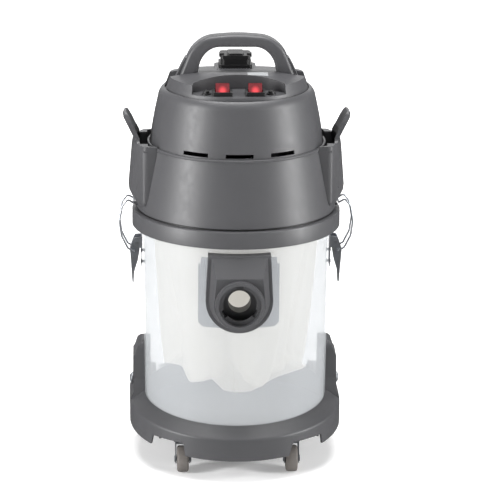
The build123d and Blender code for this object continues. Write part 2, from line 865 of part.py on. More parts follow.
def make_filter_ring():
    """Plastic ring that carries the cloth filter on the collar."""
    with BuildPart() as ring:
        turn(
            [
                (159.9, 455),
                (164.5, 455),
                (164.5, COLLAR_TOP_Z + 0.05),
                (184.5, COLLAR_TOP_Z + 0.05),
                (184.5, COLLAR_TOP_Z + 2.6),
                (159.9, COLLAR_TOP_Z + 2.6),
            ]
        )
    return ring


def make_cloth_filter():
    """Cloth bag filter, as a plain open-topped cup of its size."""
    low = FILTER_BOTTOM_Z
    with BuildPart() as cloth:
        turn(
            [
                (0, low),
                (112, low),
                (128, low + 14),
                (150, 300),
                (159.8, 440),
                (159.8, 478),
                (157.3, 478),
                (157.3, 440),
                (147.5, 300),
                (125.6, low + 15.5),
                (111, low + 2.5),
                (0, low + 2.5),
            ]
        )
    return cloth


# ---- motor head ---------------------------------------------------------------------------


def make_head_lower_body():
    """Conical lower shell of the head, with a lip around the dome's foot and two clamp lugs."""
    wall = HEAD_WALL
    with BuildPart() as body:
        turn(
            [
                (HEAD_FOOT_R - wall, HEAD_FOOT_Z),
                (HEAD_FOOT_R - 0.6, HEAD_FOOT_Z),
                (HEAD_FOOT_R, HEAD_FOOT_Z + 0.8),
                (LIP_R, LIP_Z),
                (LIP_R + 1.2, LIP_Z + 1.5),
                (LIP_R + 1.2, LIP_Z + 4.2),
                (LIP_R + 0.2, LIP_Z + 5.4),
                (163.0, LIP_Z + 5.4),
                (163.0, LIP_Z + 2.5),
                (150, LIP_Z + 2.5),
                (150, LIP_Z - 1),
                (LIP_R - wall, LIP_Z - 1),
            ]
        )
        for side in SIDES.values():
            prism(
                Plane.XZ,
                [
                    (side * 184.5, 484.6),
                    (side * 188.2, 485.2),
                    (side * 189.4, 486.5),
                    (side * 189.4, 489.0),
                    (side * 188.6, 489.8),
                    (side * 184.5, 489.8),
                ],
                13,
                both=True,
            )
        rod((0, 160, GLAND_Z), (0, 185, GLAND_Z), 8.2, mode=Mode.SUBTRACT)
    return body


def make_lift_grip(side):
    """Side grip: a hollow swelling on the head's flank that flares into an ear at the top."""
    centre, r, depth = side * GRIP_CENTRE_X, GRIP_R, GRIP_HALF_DEPTH
    skin = [(0, 494), (r - 13, 494), (r - 11.5, 497), (r - 5.5, 508), (r - 1, 518), (r, 527)]
    skin += [(r - 6, 603), (r - 7.6, 613), (0, 613)]
    with BuildPart() as grip:
        turn(skin, centre_x=centre)
        keep_flank(side, [(-depth, 613), (-depth, 490), (depth, 490), (depth, 613)], [1, 24, 24, 1])
        with BuildSketch(Plane.XY.offset(480)):
            with BuildLine():
                FilletPolyline(
                    *[(side * 90, -depth), (side * 174, -depth), (side * 190, -46), (side * 230, 0)],
                    *[(side * 190, 46), (side * 174, depth), (side * 90, depth)],
                    radius=[14, 30, 30, 30, 14],
                )
                Line((side * 90, depth), (side * 90, -depth))
            make_face()
        extrude(amount=140, mode=Mode.INTERSECT)
        add(grip_pocket(side), mode=Mode.SUBTRACT)
        add(ear(side))
        turn(
            [
                (0, 480),
                (head_radius(480) + 0.25, 480),
                (LIP_R + 0.3, LIP_Z),
                (LIP_R + 1.6, LIP_Z + 1.2),
                (LIP_R + 1.6, 680),
                (0, 680),
            ],
            mode=Mode.SUBTRACT,
        )
    return grip


def grip_pocket(side):
    """The hollow behind a grip that takes the fingers, open at the top."""
    r, inner = GRIP_R, GRIP_HALF_DEPTH - 3.5
    hollow = [(0, 521), (r - 6, 521), (r - 4.2, 528), (r - 9.5, 603), (r - 10.5, 620), (0, 620)]
    with BuildPart() as pocket:
        turn(hollow, centre_x=side * GRIP_CENTRE_X)
        keep_flank(side, [(-inner, 640), (-inner, 500), (inner, 500), (inner, 640)], [1, 20, 20, 1])
        with BuildSketch(Plane.XY.offset(480)):
            with Locations((side * 130, 0)):
                RectangleRounded(2 * 37, 2 * inner, 12)
            with Locations((side * 170, 0)):
                Rectangle(90, 2 * inner - 44)
        extrude(amount=180, mode=Mode.INTERSECT)
    return pocket.part


def ear(side):
    """The flared ear over a grip, narrowing to a rounded tip."""
    r, depth, tip = GRIP_R, GRIP_HALF_DEPTH, EAR_TIP_HALF
    section = [
        (r - 6, 602),
        (r - 9, 617),
        (r + 9.6, 655),
        (r + 10.4, 661),
        (r + 8.4, 665.5),
        (r + 4.4, 666),
        (r + 1.8, 662),
        (r - 14.6, 620),
        (r - 10.6, 602),
    ]
    outline = [(-depth, 598), (-depth, 605), (-tip - 10, 614), (-tip - 3, 650), (-tip + 6, 668)]
    outline += [(-y, z) for y, z in reversed(outline)]
    with BuildPart() as flare:
        turn(section, centre_x=side * GRIP_CENTRE_X)
        keep_flank(side, outline, [1, 2, 10, 12, 12, 12, 12, 10, 2, 1])
    return flare.part


def keep_flank(side, outline, rounding):
    """Keep only what lies on one flank and inside a rounded outline of (y, z) points."""
    with BuildSketch(Plane.YZ.offset(side * 140)) as kept:
        with BuildLine():
            FilletPolyline(*outline, radius=rounding, close=True)
        make_face()
    extrude(kept.sketch, amount=side * 100, mode=Mode.INTERSECT)


def make_head_dome():
    """Upper shell of the head: a domed bell with vents at its foot and a seat for the cover."""
    with BuildPart() as dome:
        with BuildSketch(Plane.XZ):
            with BuildLine():
                ThreePointArc(DOME_FOOT, DOME_MIDDLE, DOME_SHOULDER)
                ThreePointArc(DOME_SHOULDER, (143.6, 704.6), (137.6, DOME_TOP_Z - 0.4))
                Line((137.6, DOME_TOP_Z - 0.4), (136.4, DOME_TOP_Z))
                Line((136.4, DOME_TOP_Z), (COVER_SEAT_R, DOME_TOP_Z))
                Line((COVER_SEAT_R, DOME_TOP_Z), (COVER_SEAT_R, COVER_SEAT_Z))
                Line((COVER_SEAT_R, COVER_SEAT_Z), (124, COVER_SEAT_Z))
                Line((124, COVER_SEAT_Z), (124, COVER_SEAT_Z - 3))
                Line((124, COVER_SEAT_Z - 3), (138.5, COVER_SEAT_Z - 3))
                Line((138.5, COVER_SEAT_Z - 3), (143.8, 692))
                ThreePointArc((143.8, 692), (152.4, 652), (159.1, DOME_FOOT[1]))
                Line((159.1, DOME_FOOT[1]), DOME_FOOT)
            make_face()
        revolve(axis=Axis.Z)
        low, high = VENT_Z
        for bearing in (-30, 0, 30, 150, 180, 210):
            with Locations(Location((0, 0, (low + high) / 2), (0, 0, bearing))):
                with Locations((0, -158, 0)):
                    Box(2 * VENT_HALF_WIDTH, 30, high - low, mode=Mode.SUBTRACT)
        for x, y in cover_screw_places():
            with Locations((x, y, COVER_SEAT_Z - 10)):
                Cylinder(2.2, 12, align=STANDING, mode=Mode.SUBTRACT)
    return dome


def cover_screw_places():
    """Centres of the four screws that hold the cover, as (x, y)."""
    return [(128.6 * cos(radians(a)), 128.6 * sin(radians(a))) for a in (20, 160, 200, 340)]


def cover_form(inset):
    """The cover's crowned outer form with notches for the handle's legs, shrunk by an inset."""
    edge_x, edge_z = COVER_EDGE[0] - inset, COVER_EDGE[1] - inset
    crown = COVER_CROWN_Z - inset
    rise = crown - edge_z
    radius = (edge_x**2 + rise**2) / (2 * rise)
    middle = (edge_x / 2, crown - radius + sqrt(radius**2 - edge_x**2 / 4))
    low, wall_r, wall_z = COVER_SEAT_Z + 0.1 - inset, COVER_R - inset, COVER_WALL_Z - inset
    front, back = [(y, z - inset) for y, z in COVER_SLOPE]
    notch_half = HANDLE_HALF_DEPTH + 1.6 + inset
    with BuildPart() as form:
        with BuildSketch(Plane.XZ) as section:
            with BuildLine():
                ThreePointArc((0, crown), middle, (edge_x, edge_z))
                Polyline((edge_x, edge_z), (wall_r - 0.6, wall_z), (wall_r, low), (0, low), (0, crown))
            make_face()
        revolve(section.sketch, axis=Axis.Z)
        above = [front, back, (150, 800), (-45, 800)]
        prism(Plane.YZ, above, 200, both=True, mode=Mode.SUBTRACT)
        for side in SIDES.values():
            with Locations((side * (LEG_NOTCH_X - inset + 50), 0, LEG_NOTCH_Z - inset + 50)):
                Box(100, 2 * notch_half, 100, mode=Mode.SUBTRACT)
    return form.part


def switch_bay(grow, floor_z, mode=Mode.SUBTRACT):
    """The half-moon bay at the cover's front, grown outwards by a wall."""
    corner, back = 84.0 + grow, -51.0 + grow
    with BuildSketch(Plane.XY.offset(floor_z)) as plan:
        with BuildLine():
            ThreePointArc((-corner, -84 + grow), (0, back), (corner, -84 + grow))
            Polyline(
                (corner, -84 + grow),
                (corner + 4, -110),
                (corner + 4, -160),
                (-corner - 4, -160),
                (-corner - 4, -110),
                (-corner, -84 + grow),
            )
        make_face()
    extrude(plan.sketch, amount=80, mode=mode)


def cover_hollow(wall):
    """What the cover's shell is hollowed by, leaving a wall round its outside and its bay."""
    with BuildPart() as inside:
        add(cover_form(wall))
        switch_bay(wall, SWITCH_FLOOR_Z - wall)
    return inside.part


def socket_pad():
    """Raised pad under the power socket, blended into the crown."""
    with BuildPart() as pad:
        with BuildSketch(Plane.XY.offset(SOCKET_Z)) as upper:
            with Locations((0, SOCKET_Y)):
                RectangleRounded(78, 76, 12)
        extrude(upper.sketch, amount=20)
        add(cover_form(0), mode=Mode.INTERSECT)
        extrude(upper.sketch, amount=SOCKET_PAD_Z - SOCKET_Z)
    return pad.part


def make_switch_cover():
    """Crowned top cover with a half-moon switch bay at the front and a socket pad at the back."""
    with BuildPart() as cover:
        add(cover_form(0))
        switch_bay(0, SWITCH_FLOOR_Z)
        add(cover_hollow(3.5), mode=Mode.SUBTRACT)
        # raised pad and hole for the power socket, sunk into the crown at its front
        add(socket_pad())
        with BuildSketch(Plane.XY.offset(SOCKET_Z)):
            with Locations((0, SOCKET_Y)):
                RectangleRounded(68, 66, 7)
        extrude(amount=20, mode=Mode.SUBTRACT)
        with Locations((0, SOCKET_Y, SOCKET_Z)):
            Cylinder(26.4, 60, mode=Mode.SUBTRACT)
        # screw bosses
        for x, y in cover_screw_places():
            with Locations((x * 0.985, y * 0.985, COVER_SEAT_Z + 0.1)):
                Cylinder(4.6, 10, align=STANDING)
        for x, y in cover_screw_places():
            with Locations((x, y, COVER_SEAT_Z)):
                Cylinder(1.95, 9, align=STANDING, mode=Mode.SUBTRACT)
        # switch and button holes in the bay's floor
        for side in SIDES.values():
            with Locations((side * SWITCH_X, SWITCH_Y, SWITCH_FLOOR_Z)):
                Box(31, 28.4, 20, mode=Mode.SUBTRACT)
            with Locations((side * BUTTON_X, BUTTON_Y, SWITCH_FLOOR_Z)):
                Cylinder(7.2, 20, mode=Mode.SUBTRACT)
    return cover


def make_cover_screws():
    """Screws up through the dome's seat into the cover."""
    with BuildPart() as screws:
        for x, y in cover_screw_places():
            with Locations((x, y, COVER_SEAT_Z - 5.6)):
                Cylinder(1.9, 13, align=STANDING)
                Cylinder(3.6, 2.5, align=STANDING)
    return screws


def make_carry_handle():
    """Broad carry handle, bowed over the cover, with thickened struts down its legs."""
    foot_z = 708
    outer = [(60, 807.5), (86.5, 786), (118, foot_z)]
    inner = [(91, foot_z), (74, 736), (67, 768), (46, 788.2)]
    strut = [(90, 770), (96, 767.5), (104, 753), (118.3, 721.5), (129.5, 708), (105, 708), (88, 760)]
    with BuildPart() as handle:
        with BuildSketch(Plane.XZ):
            with BuildLine():
                left_outer = [(-x, z) for x, z in reversed(outer)]
                FilletPolyline(*left_outer, (0, 812.6), *outer, radius=[60, 55, 300, 55, 60])
                Line(outer[-1], inner[0])
                left_inner = [(-x, z) for x, z in reversed(inner)]
                FilletPolyline(*inner, *left_inner, radius=[40, 45, 36, 36, 45, 40])
                Line(left_inner[-1], left_outer[0])
            make_face()
        extrude(amount=HANDLE_HALF_DEPTH, both=True)
        faces_edges = handle.edges().group_by(Axis.Y)
        rims = [edge for edge in faces_edges[0] + faces_edges[-1] if edge.center().Z > foot_z + 1]
        fillet(rims, radius=7)
        for side in SIDES.values():
            prism(Plane.XZ, [(side * x, z) for x, z in strut], HANDLE_HALF_DEPTH - 5, both=True)
        add(cover_form(-0.15), mode=Mode.SUBTRACT)
    return handle


def make_rating_plate():
    """Blank silver label on the cover."""
    with BuildPart() as plate:
        with Locations((37, -40, 745)):
            Box(38, 26, 30)
        add(cover_form(-0.5), mode=Mode.INTERSECT)
        add(cover_form(-0.04), mode=Mode.SUBTRACT)
    return plate


# ---- switches, buttons and socket ---------------------------------------------------------


def make_switch_bezels():
    """Black switch housings with open frames."""
    with BuildPart() as bezels:
        for side in SIDES.values():
            with BuildSketch(Plane.XY.offset(SWITCH_FLOOR_Z + 0.05)):
                with Locations((side * SWITCH_X, SWITCH_Y)):
                    RectangleRounded(37, 33, 2.5)
            extrude(amount=7.4)
            with Locations((side * SWITCH_X, SWITCH_Y, 705)):
                Box(30.4, 27.8, 14, align=STANDING)
            with Locations((side * SWITCH_X, SWITCH_Y, 707)):
                Box(27.6, 25.2, 20, align=STANDING, mode=Mode.SUBTRACT)
    return bezels


def make_rocker(side):
    """Red rocker of a motor switch, standing in its on position with the back edge raised."""
    y, z = SWITCH_Y, 716.0
    with BuildPart() as rocker:
        with BuildSketch(Plane.YZ.offset(side * SWITCH_X)):
            with BuildLine():
                Polyline(
                    (y - 10.2, z + 1),
                    (y - 10.2, z + 8),
                    (y - 8.6, z + 9.4),
                    (y + 5.0, z + 21.2),
                    (y + 7.4, z + 22),
                    (y + 9.6, z + 20.6),
                    (y + 10.2, z + 18),
                    (y + 10.2, z + 1),
                    (y + 6, z - 3),
                    (y - 6, z - 3),
                    close=True,
                )
            make_face()
        extrude(amount=12.6, both=True)
    return rocker


def make_breaker_bodies():
    """Housings of the two overload breakers, with collars around their reset buttons."""
    with BuildPart() as bodies:
        for side in SIDES.values():
            with Locations((side * BUTTON_X, BUTTON_Y, 700.5)):
                Cylinder(6.9, 18, align=STANDING)
            with Locations((side * BUTTON_X, BUTTON_Y, SWITCH_FLOOR_Z + 0.05)):
                Cylinder(8.6, 2.6, align=STANDING)
            with Locations((side * BUTTON_X, BUTTON_Y, 711)):
                Cylinder(5.6, 12, align=STANDING, mode=Mode.SUBTRACT)
    return bodies


def make_reset_button(side):
    """Black overload reset button."""
    with BuildPart() as button:
        with Locations((side * BUTTON_X, BUTTON_Y, 714)):
            Cylinder(5.3, 11.6, align=STANDING)
        fillet(button.edges().group_by(Axis.Z)[-1], radius=1.2)
    return button


def make_socket_base():
    """Black power-tool socket: square flange, round body below and a plug recess."""
    top = SOCKET_Z + 19
    with BuildPart() as base:
        with BuildSketch(Plane.XY.offset(SOCKET_Z + 0.05)):
            with Locations((0, SOCKET_Y)):
                RectangleRounded(62, 60, 6)
        extrude(amount=8.5)
        with BuildSketch(Plane.XY.offset(SOCKET_Z + 8)):
            with Locations((0, SOCKET_Y)):
                RectangleRounded(54, 54, 8)
        extrude(amount=11)
        with Locations((0, SOCKET_Y, SOCKET_Z + 1)):
            Cylinder(26, 24, align=HANGING)
        with Locations((0, SOCKET_Y, top)):
            Cylinder(20, 30, align=HANGING, mode=Mode.SUBTRACT)
        for x in (-9.5, 9.5):
            with Locations((x, SOCKET_Y, top - 29)):
                Cylinder(2.6, 10, align=HANGING, mode=Mode.SUBTRACT)
        # hinge ears at the back edge
        for x in (-17, 17):
            with BuildSketch(Plane.YZ.offset(x)):
                with Locations((SOCKET_Y + 31, top + 1)):
                    Circle(4)
                with Locations((SOCKET_Y + 30.2, top - 5)):
                    Rectangle(6.6, 12)
            extrude(amount=3, both=True)
        rod((-30, SOCKET_Y + 31, top + 1), (30, SOCKET_Y + 31, top + 1), 1.55, mode=Mode.SUBTRACT)
    return base


def make_lid_pin():
    """Hinge pin of the socket's lid."""
    with BuildPart() as pin:
        rod((-20.5, SOCKET_Y + 31, SOCKET_Z + 20), (20.5, SOCKET_Y + 31, SOCKET_Z + 20), 1.5)
    return pin


def make_socket_lid():
    """Sprung lid of the power socket, with side lugs and a central cap."""
    low = SOCKET_Z + 19.3
    with BuildPart() as lid:
        with BuildSketch(Plane.XY.offset(low)):
            with Locations((0, SOCKET_Y - 0.4)):
                RectangleRounded(57, 52.2, 7)
        extrude(amount=6.5)
        for x in (-26, 26):
            with Locations((x, SOCKET_Y - 8, low + 2)):
                Box(9, 16, 7, align=STANDING)
        with BuildSketch(Plane.XY.offset(low + 6)):
            with Locations((0, SOCKET_Y - 3)):
                RectangleRounded(30, 40, 5)
        extrude(amount=4)
        with BuildSketch(Plane.YZ):
            with Locations((SOCKET_Y + 31, SOCKET_Z + 20)):
                Circle(3.7)
            with Locations((SOCKET_Y + 27.5, SOCKET_Z + 22)):
                Rectangle(9, 3.4)
        extrude(amount=13.4, both=True)
        pin_y, pin_z = SOCKET_Y + 31, SOCKET_Z + 20
        rod((-30, pin_y, pin_z), (30, pin_y, pin_z), 1.55, mode=Mode.SUBTRACT)
    return lid


def make_cable_gland():
    """Gland for the mains cable at the back of the head."""
    wall_y = head_radius(GLAND_Z)
    with BuildPart() as gland:
        rod((0, wall_y - 12, GLAND_Z), (0, wall_y + 22, GLAND_Z), 8.0)
        prism(
            Plane.XZ.offset(-(wall_y + 2.6)),
            [(13 * cos(radians(60 * k)), GLAND_Z + 13 * sin(radians(60 * k))) for k in range(6)],
            -7,
        )
        rod((0, wall_y + 8, GLAND_Z), (0, wall_y + 18, GLAND_Z), 10.5)
        rod((0, wall_y - 12, GLAND_Z), (0, wall_y - 7, GLAND_Z), 11.5)
        rod((0, wall_y - 20, GLAND_Z), (0, wall_y + 30, GLAND_Z), 4.6, mode=Mode.SUBTRACT)
    return gland


# ---- inside the head ----------------------------------------------------------------------


def make_head_gasket():
    """Foam ring between the head and the filter's ring."""
    with BuildPart() as gasket:
        turn([(169.5, 483.75), (181, 483.75), (181, 487.95), (169.5, 487.95)])
    return gasket


def make_motor_plate():
    """Base plate of the head with the suction chamber that feeds both motors."""
    with BuildPart() as plate:
        turn(
            [
                (30, 488),
                (181.6, 488),
                (181.6, 492),
                (153, 492),
                (153, 516),
                (0, 516),
                (0, 512),
                (150, 512),
                (150, 492),
                (30, 492),
            ]
        )
        for side in SIDES.values():
            with Locations((side * MOTOR_X, 0, 514)):
                Cylinder(26, 10, mode=Mode.SUBTRACT)
    return plate


def make_motor_gaskets():
    """Rubber rings under the two motors."""
    with BuildPart() as rings:
        for side in SIDES.values():
            turn([(30, 516.05), (66, 516.05), (66, 519.95), (30, 519.95)], centre_x=side * MOTOR_X)
    return rings


def make_motor_casing(side):
    """Motor casing: a turbine bowl with an armature tube on top."""
    bowl, tube, low = MOTOR_BOWL_R, MOTOR_TUBE_R, MOTOR_Z
    with BuildPart() as casing:
        turn(
            [
                (24, low),
                (bowl, low),
                (bowl, low + 42),
                (tube, low + 42),
                (tube, low + 122),
                (SHAFT_R + FIT, low + 122),
                (SHAFT_R + FIT, low + 118),
                (tube - 3, low + 118),
                (tube - 3, low + 39),
                (bowl - 3, low + 39),
                (bowl - 3, low + 3),
                (24, low + 3),
            ],
            centre_x=side * MOTOR_X,
        )
    return casing


def make_motor_rotor(side):
    """Turning part of a motor: shaft, turbine wheel, armature and cooling fan."""
    low = MOTOR_Z
    with BuildPart() as rotor:
        turn(
            [
                (0, low + 6),
                (SHAFT_R, low + 6),
                (22, low + 10),
                (63, low + 12),
                (63, low + 32),
                (22, low + 34),
                (SHAFT_R, low + 36),
                (SHAFT_R, low + 52),
                (34, low + 54),
                (36, low + 58),
                (36, low + 100),
                (34, low + 104),
                (SHAFT_R, low + 106),
                (SHAFT_R, low + 124),
                (30, low + 125),
                (30, low + 130),
                (0, low + 132),
            ],
            centre_x=side * MOTOR_X,
        )
    return rotor


def make_float_cage():
    """Basket under the suction hole that guides the float."""
    with BuildPart() as cage:
        turn(
            [
                (27, 484.5),
                (52, 484.5),
                (52, 487.95),
                (27, 487.95),
            ]
        )
        turn([(36, 418), (38.6, 418), (38.6, 485), (36, 485)])
        turn([(0, 416), (38.6, 416), (38.6, 418.4), (0, 418.4)])
        with PolarLocations(37, 6):
            with Locations((0, 0, 450)):
                Box(12, 22, 48, mode=Mode.SUBTRACT)
    return cage


def make_float():
    """Hollow float that shuts the suction hole when the tank is full."""
    with BuildPart() as ball:
        turn([(0, 418.6), (27, 418.6), (33, 425), (33, 454), (29, 460.5), (0, 460.5)])
    return ball


# ---- assembly -----------------------------------------------------------------------------


def main():
    """Make every sub-part and write it."""
    os.makedirs("parts", exist_ok=True)
    singles = {
        "trolley_base": make_trolley_base,
        "castor_sockets": make_castor_sockets,
        "rear_axle": make_rear_axle,
        "axle_caps": make_axle_caps,
        "tank": make_tank,
        "tank_collar": make_tank_collar,
        "tank_screws": make_tank_screws,
        "screw_washers": make_screw_washers,
        "inlet_port": make_inlet_port,
        "inlet_gasket": make_inlet_gasket,
        "inlet_backing_plate": make_inlet_backing_plate,
        "inlet_screws": make_inlet_screws,
        "clamp_brackets": make_clamp_brackets,
        "bracket_rivets": make_bracket_rivets,
        "clamp_pins": make_clamp_pins,
        "filter_ring": make_filter_ring,
        "cloth_filter": make_cloth_filter,
        "head_lower_body": make_head_lower_body,
        "head_dome": make_head_dome,
        "switch_cover": make_switch_cover,
        "cover_screws": make_cover_screws,
        "carry_handle": make_carry_handle,
        "rating_plate": make_rating_plate,
        "switch_bezels": make_switch_bezels,
        "breaker_bodies": make_breaker_bodies,
        "socket_base": make_socket_base,
        "lid_pin": make_lid_pin,
        "socket_lid": make_socket_lid,
        "cable_gland": make_cable_gland,
        "head_gasket": make_head_gasket,
        "motor_plate": make_motor_plate,
        "motor_gaskets": make_motor_gaskets,
        "float_cage": make_float_cage,
        "float": make_float,
    }
    pairs = {
        "castor_fork": make_castor_fork,
        "castor_axle": make_castor_axle,
        "castor_tyre": make_castor_tyre,
        "castor_hub": make_castor_hub,
        "rear_tyre": make_rear_tyre,
        "rear_hub": make_rear_hub,
        "clamp_lever": make_clamp_lever,
        "clamp_bail": make_clamp_bail,
        "lift_grip": make_lift_grip,
        "rocker": make_rocker,
        "reset_button": make_reset_button,
        "motor_casing": make_motor_casing,
        "motor_rotor": make_motor_rotor,
    }
    for name, make in singles.items():
        write(make(), name)
    for name, make in pairs.items():
        for word, side in SIDES.items():
            write(make(side), f"{name}_{word}")


main()
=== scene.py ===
"""Looks of a wet and dry vacuum cleaner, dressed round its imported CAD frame.

Metres throughout. +Z is up and the hose inlet faces -Y. Each sub-assembly is a class that builds
its own meshes and gives them their finish, and every piece rides on the CAD body that it belongs to.
"""

import json
import logging
import math
from collections.abc import Iterable, Sequence
from dataclasses import dataclass, field
from enum import Enum

import bmesh
import bpy
from mathutils import Matrix, Vector
from mathutils.bvhtree import BVHTree

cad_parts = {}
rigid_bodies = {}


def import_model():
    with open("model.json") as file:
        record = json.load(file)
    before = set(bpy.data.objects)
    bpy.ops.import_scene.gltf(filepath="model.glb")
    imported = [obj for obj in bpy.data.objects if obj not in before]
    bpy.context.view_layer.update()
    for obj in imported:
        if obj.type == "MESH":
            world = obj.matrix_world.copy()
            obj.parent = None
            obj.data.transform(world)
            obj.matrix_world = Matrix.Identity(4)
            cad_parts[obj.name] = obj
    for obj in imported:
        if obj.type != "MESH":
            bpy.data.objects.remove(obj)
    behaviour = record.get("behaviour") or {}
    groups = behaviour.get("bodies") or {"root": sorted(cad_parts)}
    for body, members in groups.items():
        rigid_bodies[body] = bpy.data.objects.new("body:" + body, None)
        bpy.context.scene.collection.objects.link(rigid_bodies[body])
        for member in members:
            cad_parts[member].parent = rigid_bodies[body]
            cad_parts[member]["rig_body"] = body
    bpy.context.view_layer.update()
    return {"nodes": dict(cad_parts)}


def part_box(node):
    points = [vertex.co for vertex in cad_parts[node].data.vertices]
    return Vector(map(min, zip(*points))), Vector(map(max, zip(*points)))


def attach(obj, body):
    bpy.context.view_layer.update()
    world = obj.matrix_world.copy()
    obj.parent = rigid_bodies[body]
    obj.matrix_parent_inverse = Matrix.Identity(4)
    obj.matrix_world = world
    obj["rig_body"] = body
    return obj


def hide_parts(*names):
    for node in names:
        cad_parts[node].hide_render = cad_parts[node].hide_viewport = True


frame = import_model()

WELD = 2e-6
ROUND_ANGLE = 35.0
LOG = logging.getLogger("vacuum")

Point = tuple[float, float]
Point3 = tuple[float, float, float]
Colour = tuple[float, float, float]


class Slot(Enum):
    """The material slots of the record."""

    GREY = "grey_plastic"
    BLACK = "black_plastic"
    BLUE = "blue_plastic"
    FLOAT = "float_plastic"
    TANK = "tank_plastic"
    RED = "red_lens"
    ZINC = "zinc_plate"
    STEEL = "steel"
    TYRE = "tyre_rubber"
    SEAL = "seal_rubber"
    CLOTH = "filter_cloth"
    MOTOR = "motor_metal"
    LABEL = "label_foil"


class Side(Enum):
    """The two sides of the machine, as the sign of X."""

    LEFT = -1
    RIGHT = 1

    @property
    def word(self) -> str:
        """The side's name as the CAD nodes spell it."""
        return self.name.lower()


# ---- finishes -----------------------------------------------------------------------------


class NodeSheet:
    """One material's node tree, with short calls to add and join nodes."""

    def __init__(self, name: str) -> None:
        """Start a material with its principled shader.

        Args:
            name: the material's name.
        """
        self.material = bpy.data.materials.new(name)
        self.material.use_nodes = True
        self.tree = self.material.node_tree
        self.shader = self.tree.nodes["Principled BSDF"]

    def node(self, kind: str, **settings: object) -> bpy.types.Node:
        """Add a node.

        Args:
            kind: the node's type without its ShaderNode prefix.
            settings: its properties.

        Returns:
            The new node.
        """
        made = self.tree.nodes.new(f"ShaderNode{kind}")
        for key, value in settings.items():
            setattr(made, key, value)
        return made

    def join(self, source: bpy.types.NodeSocket, target: bpy.types.NodeSocket) -> None:
        """Link one socket to another.

        Args:
            source: the socket that gives the value.
            target: the socket that takes it.
        """
        self.tree.links.new(source, target)

    def set(self, **values: object) -> None:
        """Set sockets of the principled shader.

        Args:
            values: the values by socket name, with _ for a space.
        """
        for key, value in values.items():
            self.shader.inputs[key.replace("_", " ")].default_value = value

    def place(self, scale: Sequence[float] = (1, 1, 1)) -> bpy.types.NodeSocket:
        """Object coordinates, stretched.

        Args:
            scale: the stretch along X, Y and Z.

        Returns:
            The vector socket.
        """
        coordinates = self.node("TexCoord")
        mapping = self.node("Mapping")
        mapping.inputs["Scale"].default_value = scale
        self.join(coordinates.outputs["Object"], mapping.inputs["Vector"])
        return mapping.outputs["Vector"]

    def noise(self, where: bpy.types.NodeSocket, size: float, detail: float = 3.0) -> bpy.types.NodeSocket:
        """A noise pattern.

        Args:
            where: the vector socket it reads.
            size: the size of its features in metres.
            detail: its octaves.

        Returns:
            The factor socket.
        """
        made = self.node("TexNoise")
        made.inputs["Scale"].default_value = 1.0 / size
        made.inputs["Detail"].default_value = detail
        self.join(where, made.inputs["Vector"])
        return made.outputs["Fac"]

    def ramp(self, value: bpy.types.NodeSocket, low: float, high: float) -> bpy.types.NodeSocket:
        """Map a 0 to 1 pattern to a range of values.

        Args:
            value: the pattern.
            low: the result at 0.3.
            high: the result at 0.7.

        Returns:
            The mapped socket.
        """
        return self.remap(value, (0.3, 0.7), (low, high))

    def remap(
        self, value: bpy.types.NodeSocket, source: Point, result: Point, curve: str = "LINEAR"
    ) -> bpy.types.NodeSocket:
        """Map a range of values to another one.

        Args:
            value: the socket that is mapped.
            source: the range it comes in.
            result: the range it is mapped to.
            curve: the interpolation between them.

        Returns:
            The mapped socket.
        """
        made = self.node("MapRange", interpolation_type=curve)
        ends = zip(("From Min", "From Max", "To Min", "To Max"), (*source, *result))
        for key, number in ends:
            made.inputs[key].default_value = number
        self.join(value, made.inputs["Value"])
        return made.outputs["Result"]

    def blend(
        self, factor: bpy.types.NodeSocket, first: Colour | bpy.types.NodeSocket, second: Colour
    ) -> bpy.types.NodeSocket:
        """Mix two colours by a pattern.

        Args:
            factor: the pattern.
            first: the colour at 0, or the socket that gives it.
            second: the colour at 1.

        Returns:
            The colour socket.
        """
        made = self.node("Mix", data_type="RGBA")
        start, end = (socket for socket in made.inputs if socket.type == "RGBA")
        if isinstance(first, bpy.types.NodeSocket):
            self.join(first, start)
        else:
            start.default_value = (*first, 1)
        end.default_value = (*second, 1)
        self.join(factor, made.inputs["Factor"])
        return next(s for s in made.outputs if s.type == "RGBA")

    def bump(self, height: bpy.types.NodeSocket, distance: float, strength: float = 1.0) -> None:
        """Bump the shader's normal, over any bump that it already has.

        Args:
            height: the pattern.
            distance: its depth in metres.
            strength: how much of it shows.
        """
        made = self.node("Bump")
        made.inputs["Distance"].default_value = distance
        made.inputs["Strength"].default_value = strength
        self.join(height, made.inputs["Height"])
        normal = self.shader.inputs["Normal"]
        if normal.is_linked:
            self.join(normal.links[0].from_socket, made.inputs["Normal"])
        self.join(made.outputs["Normal"], normal)


def shade(colour: Colour, factor: float) -> Colour:
    """A colour made lighter or darker.

    Args:
        colour: the colour.
        factor: what each channel is multiplied by.

    Returns:
        The new colour, no channel above 1.
    """
    return tuple(min(1.0, c * factor) for c in colour)


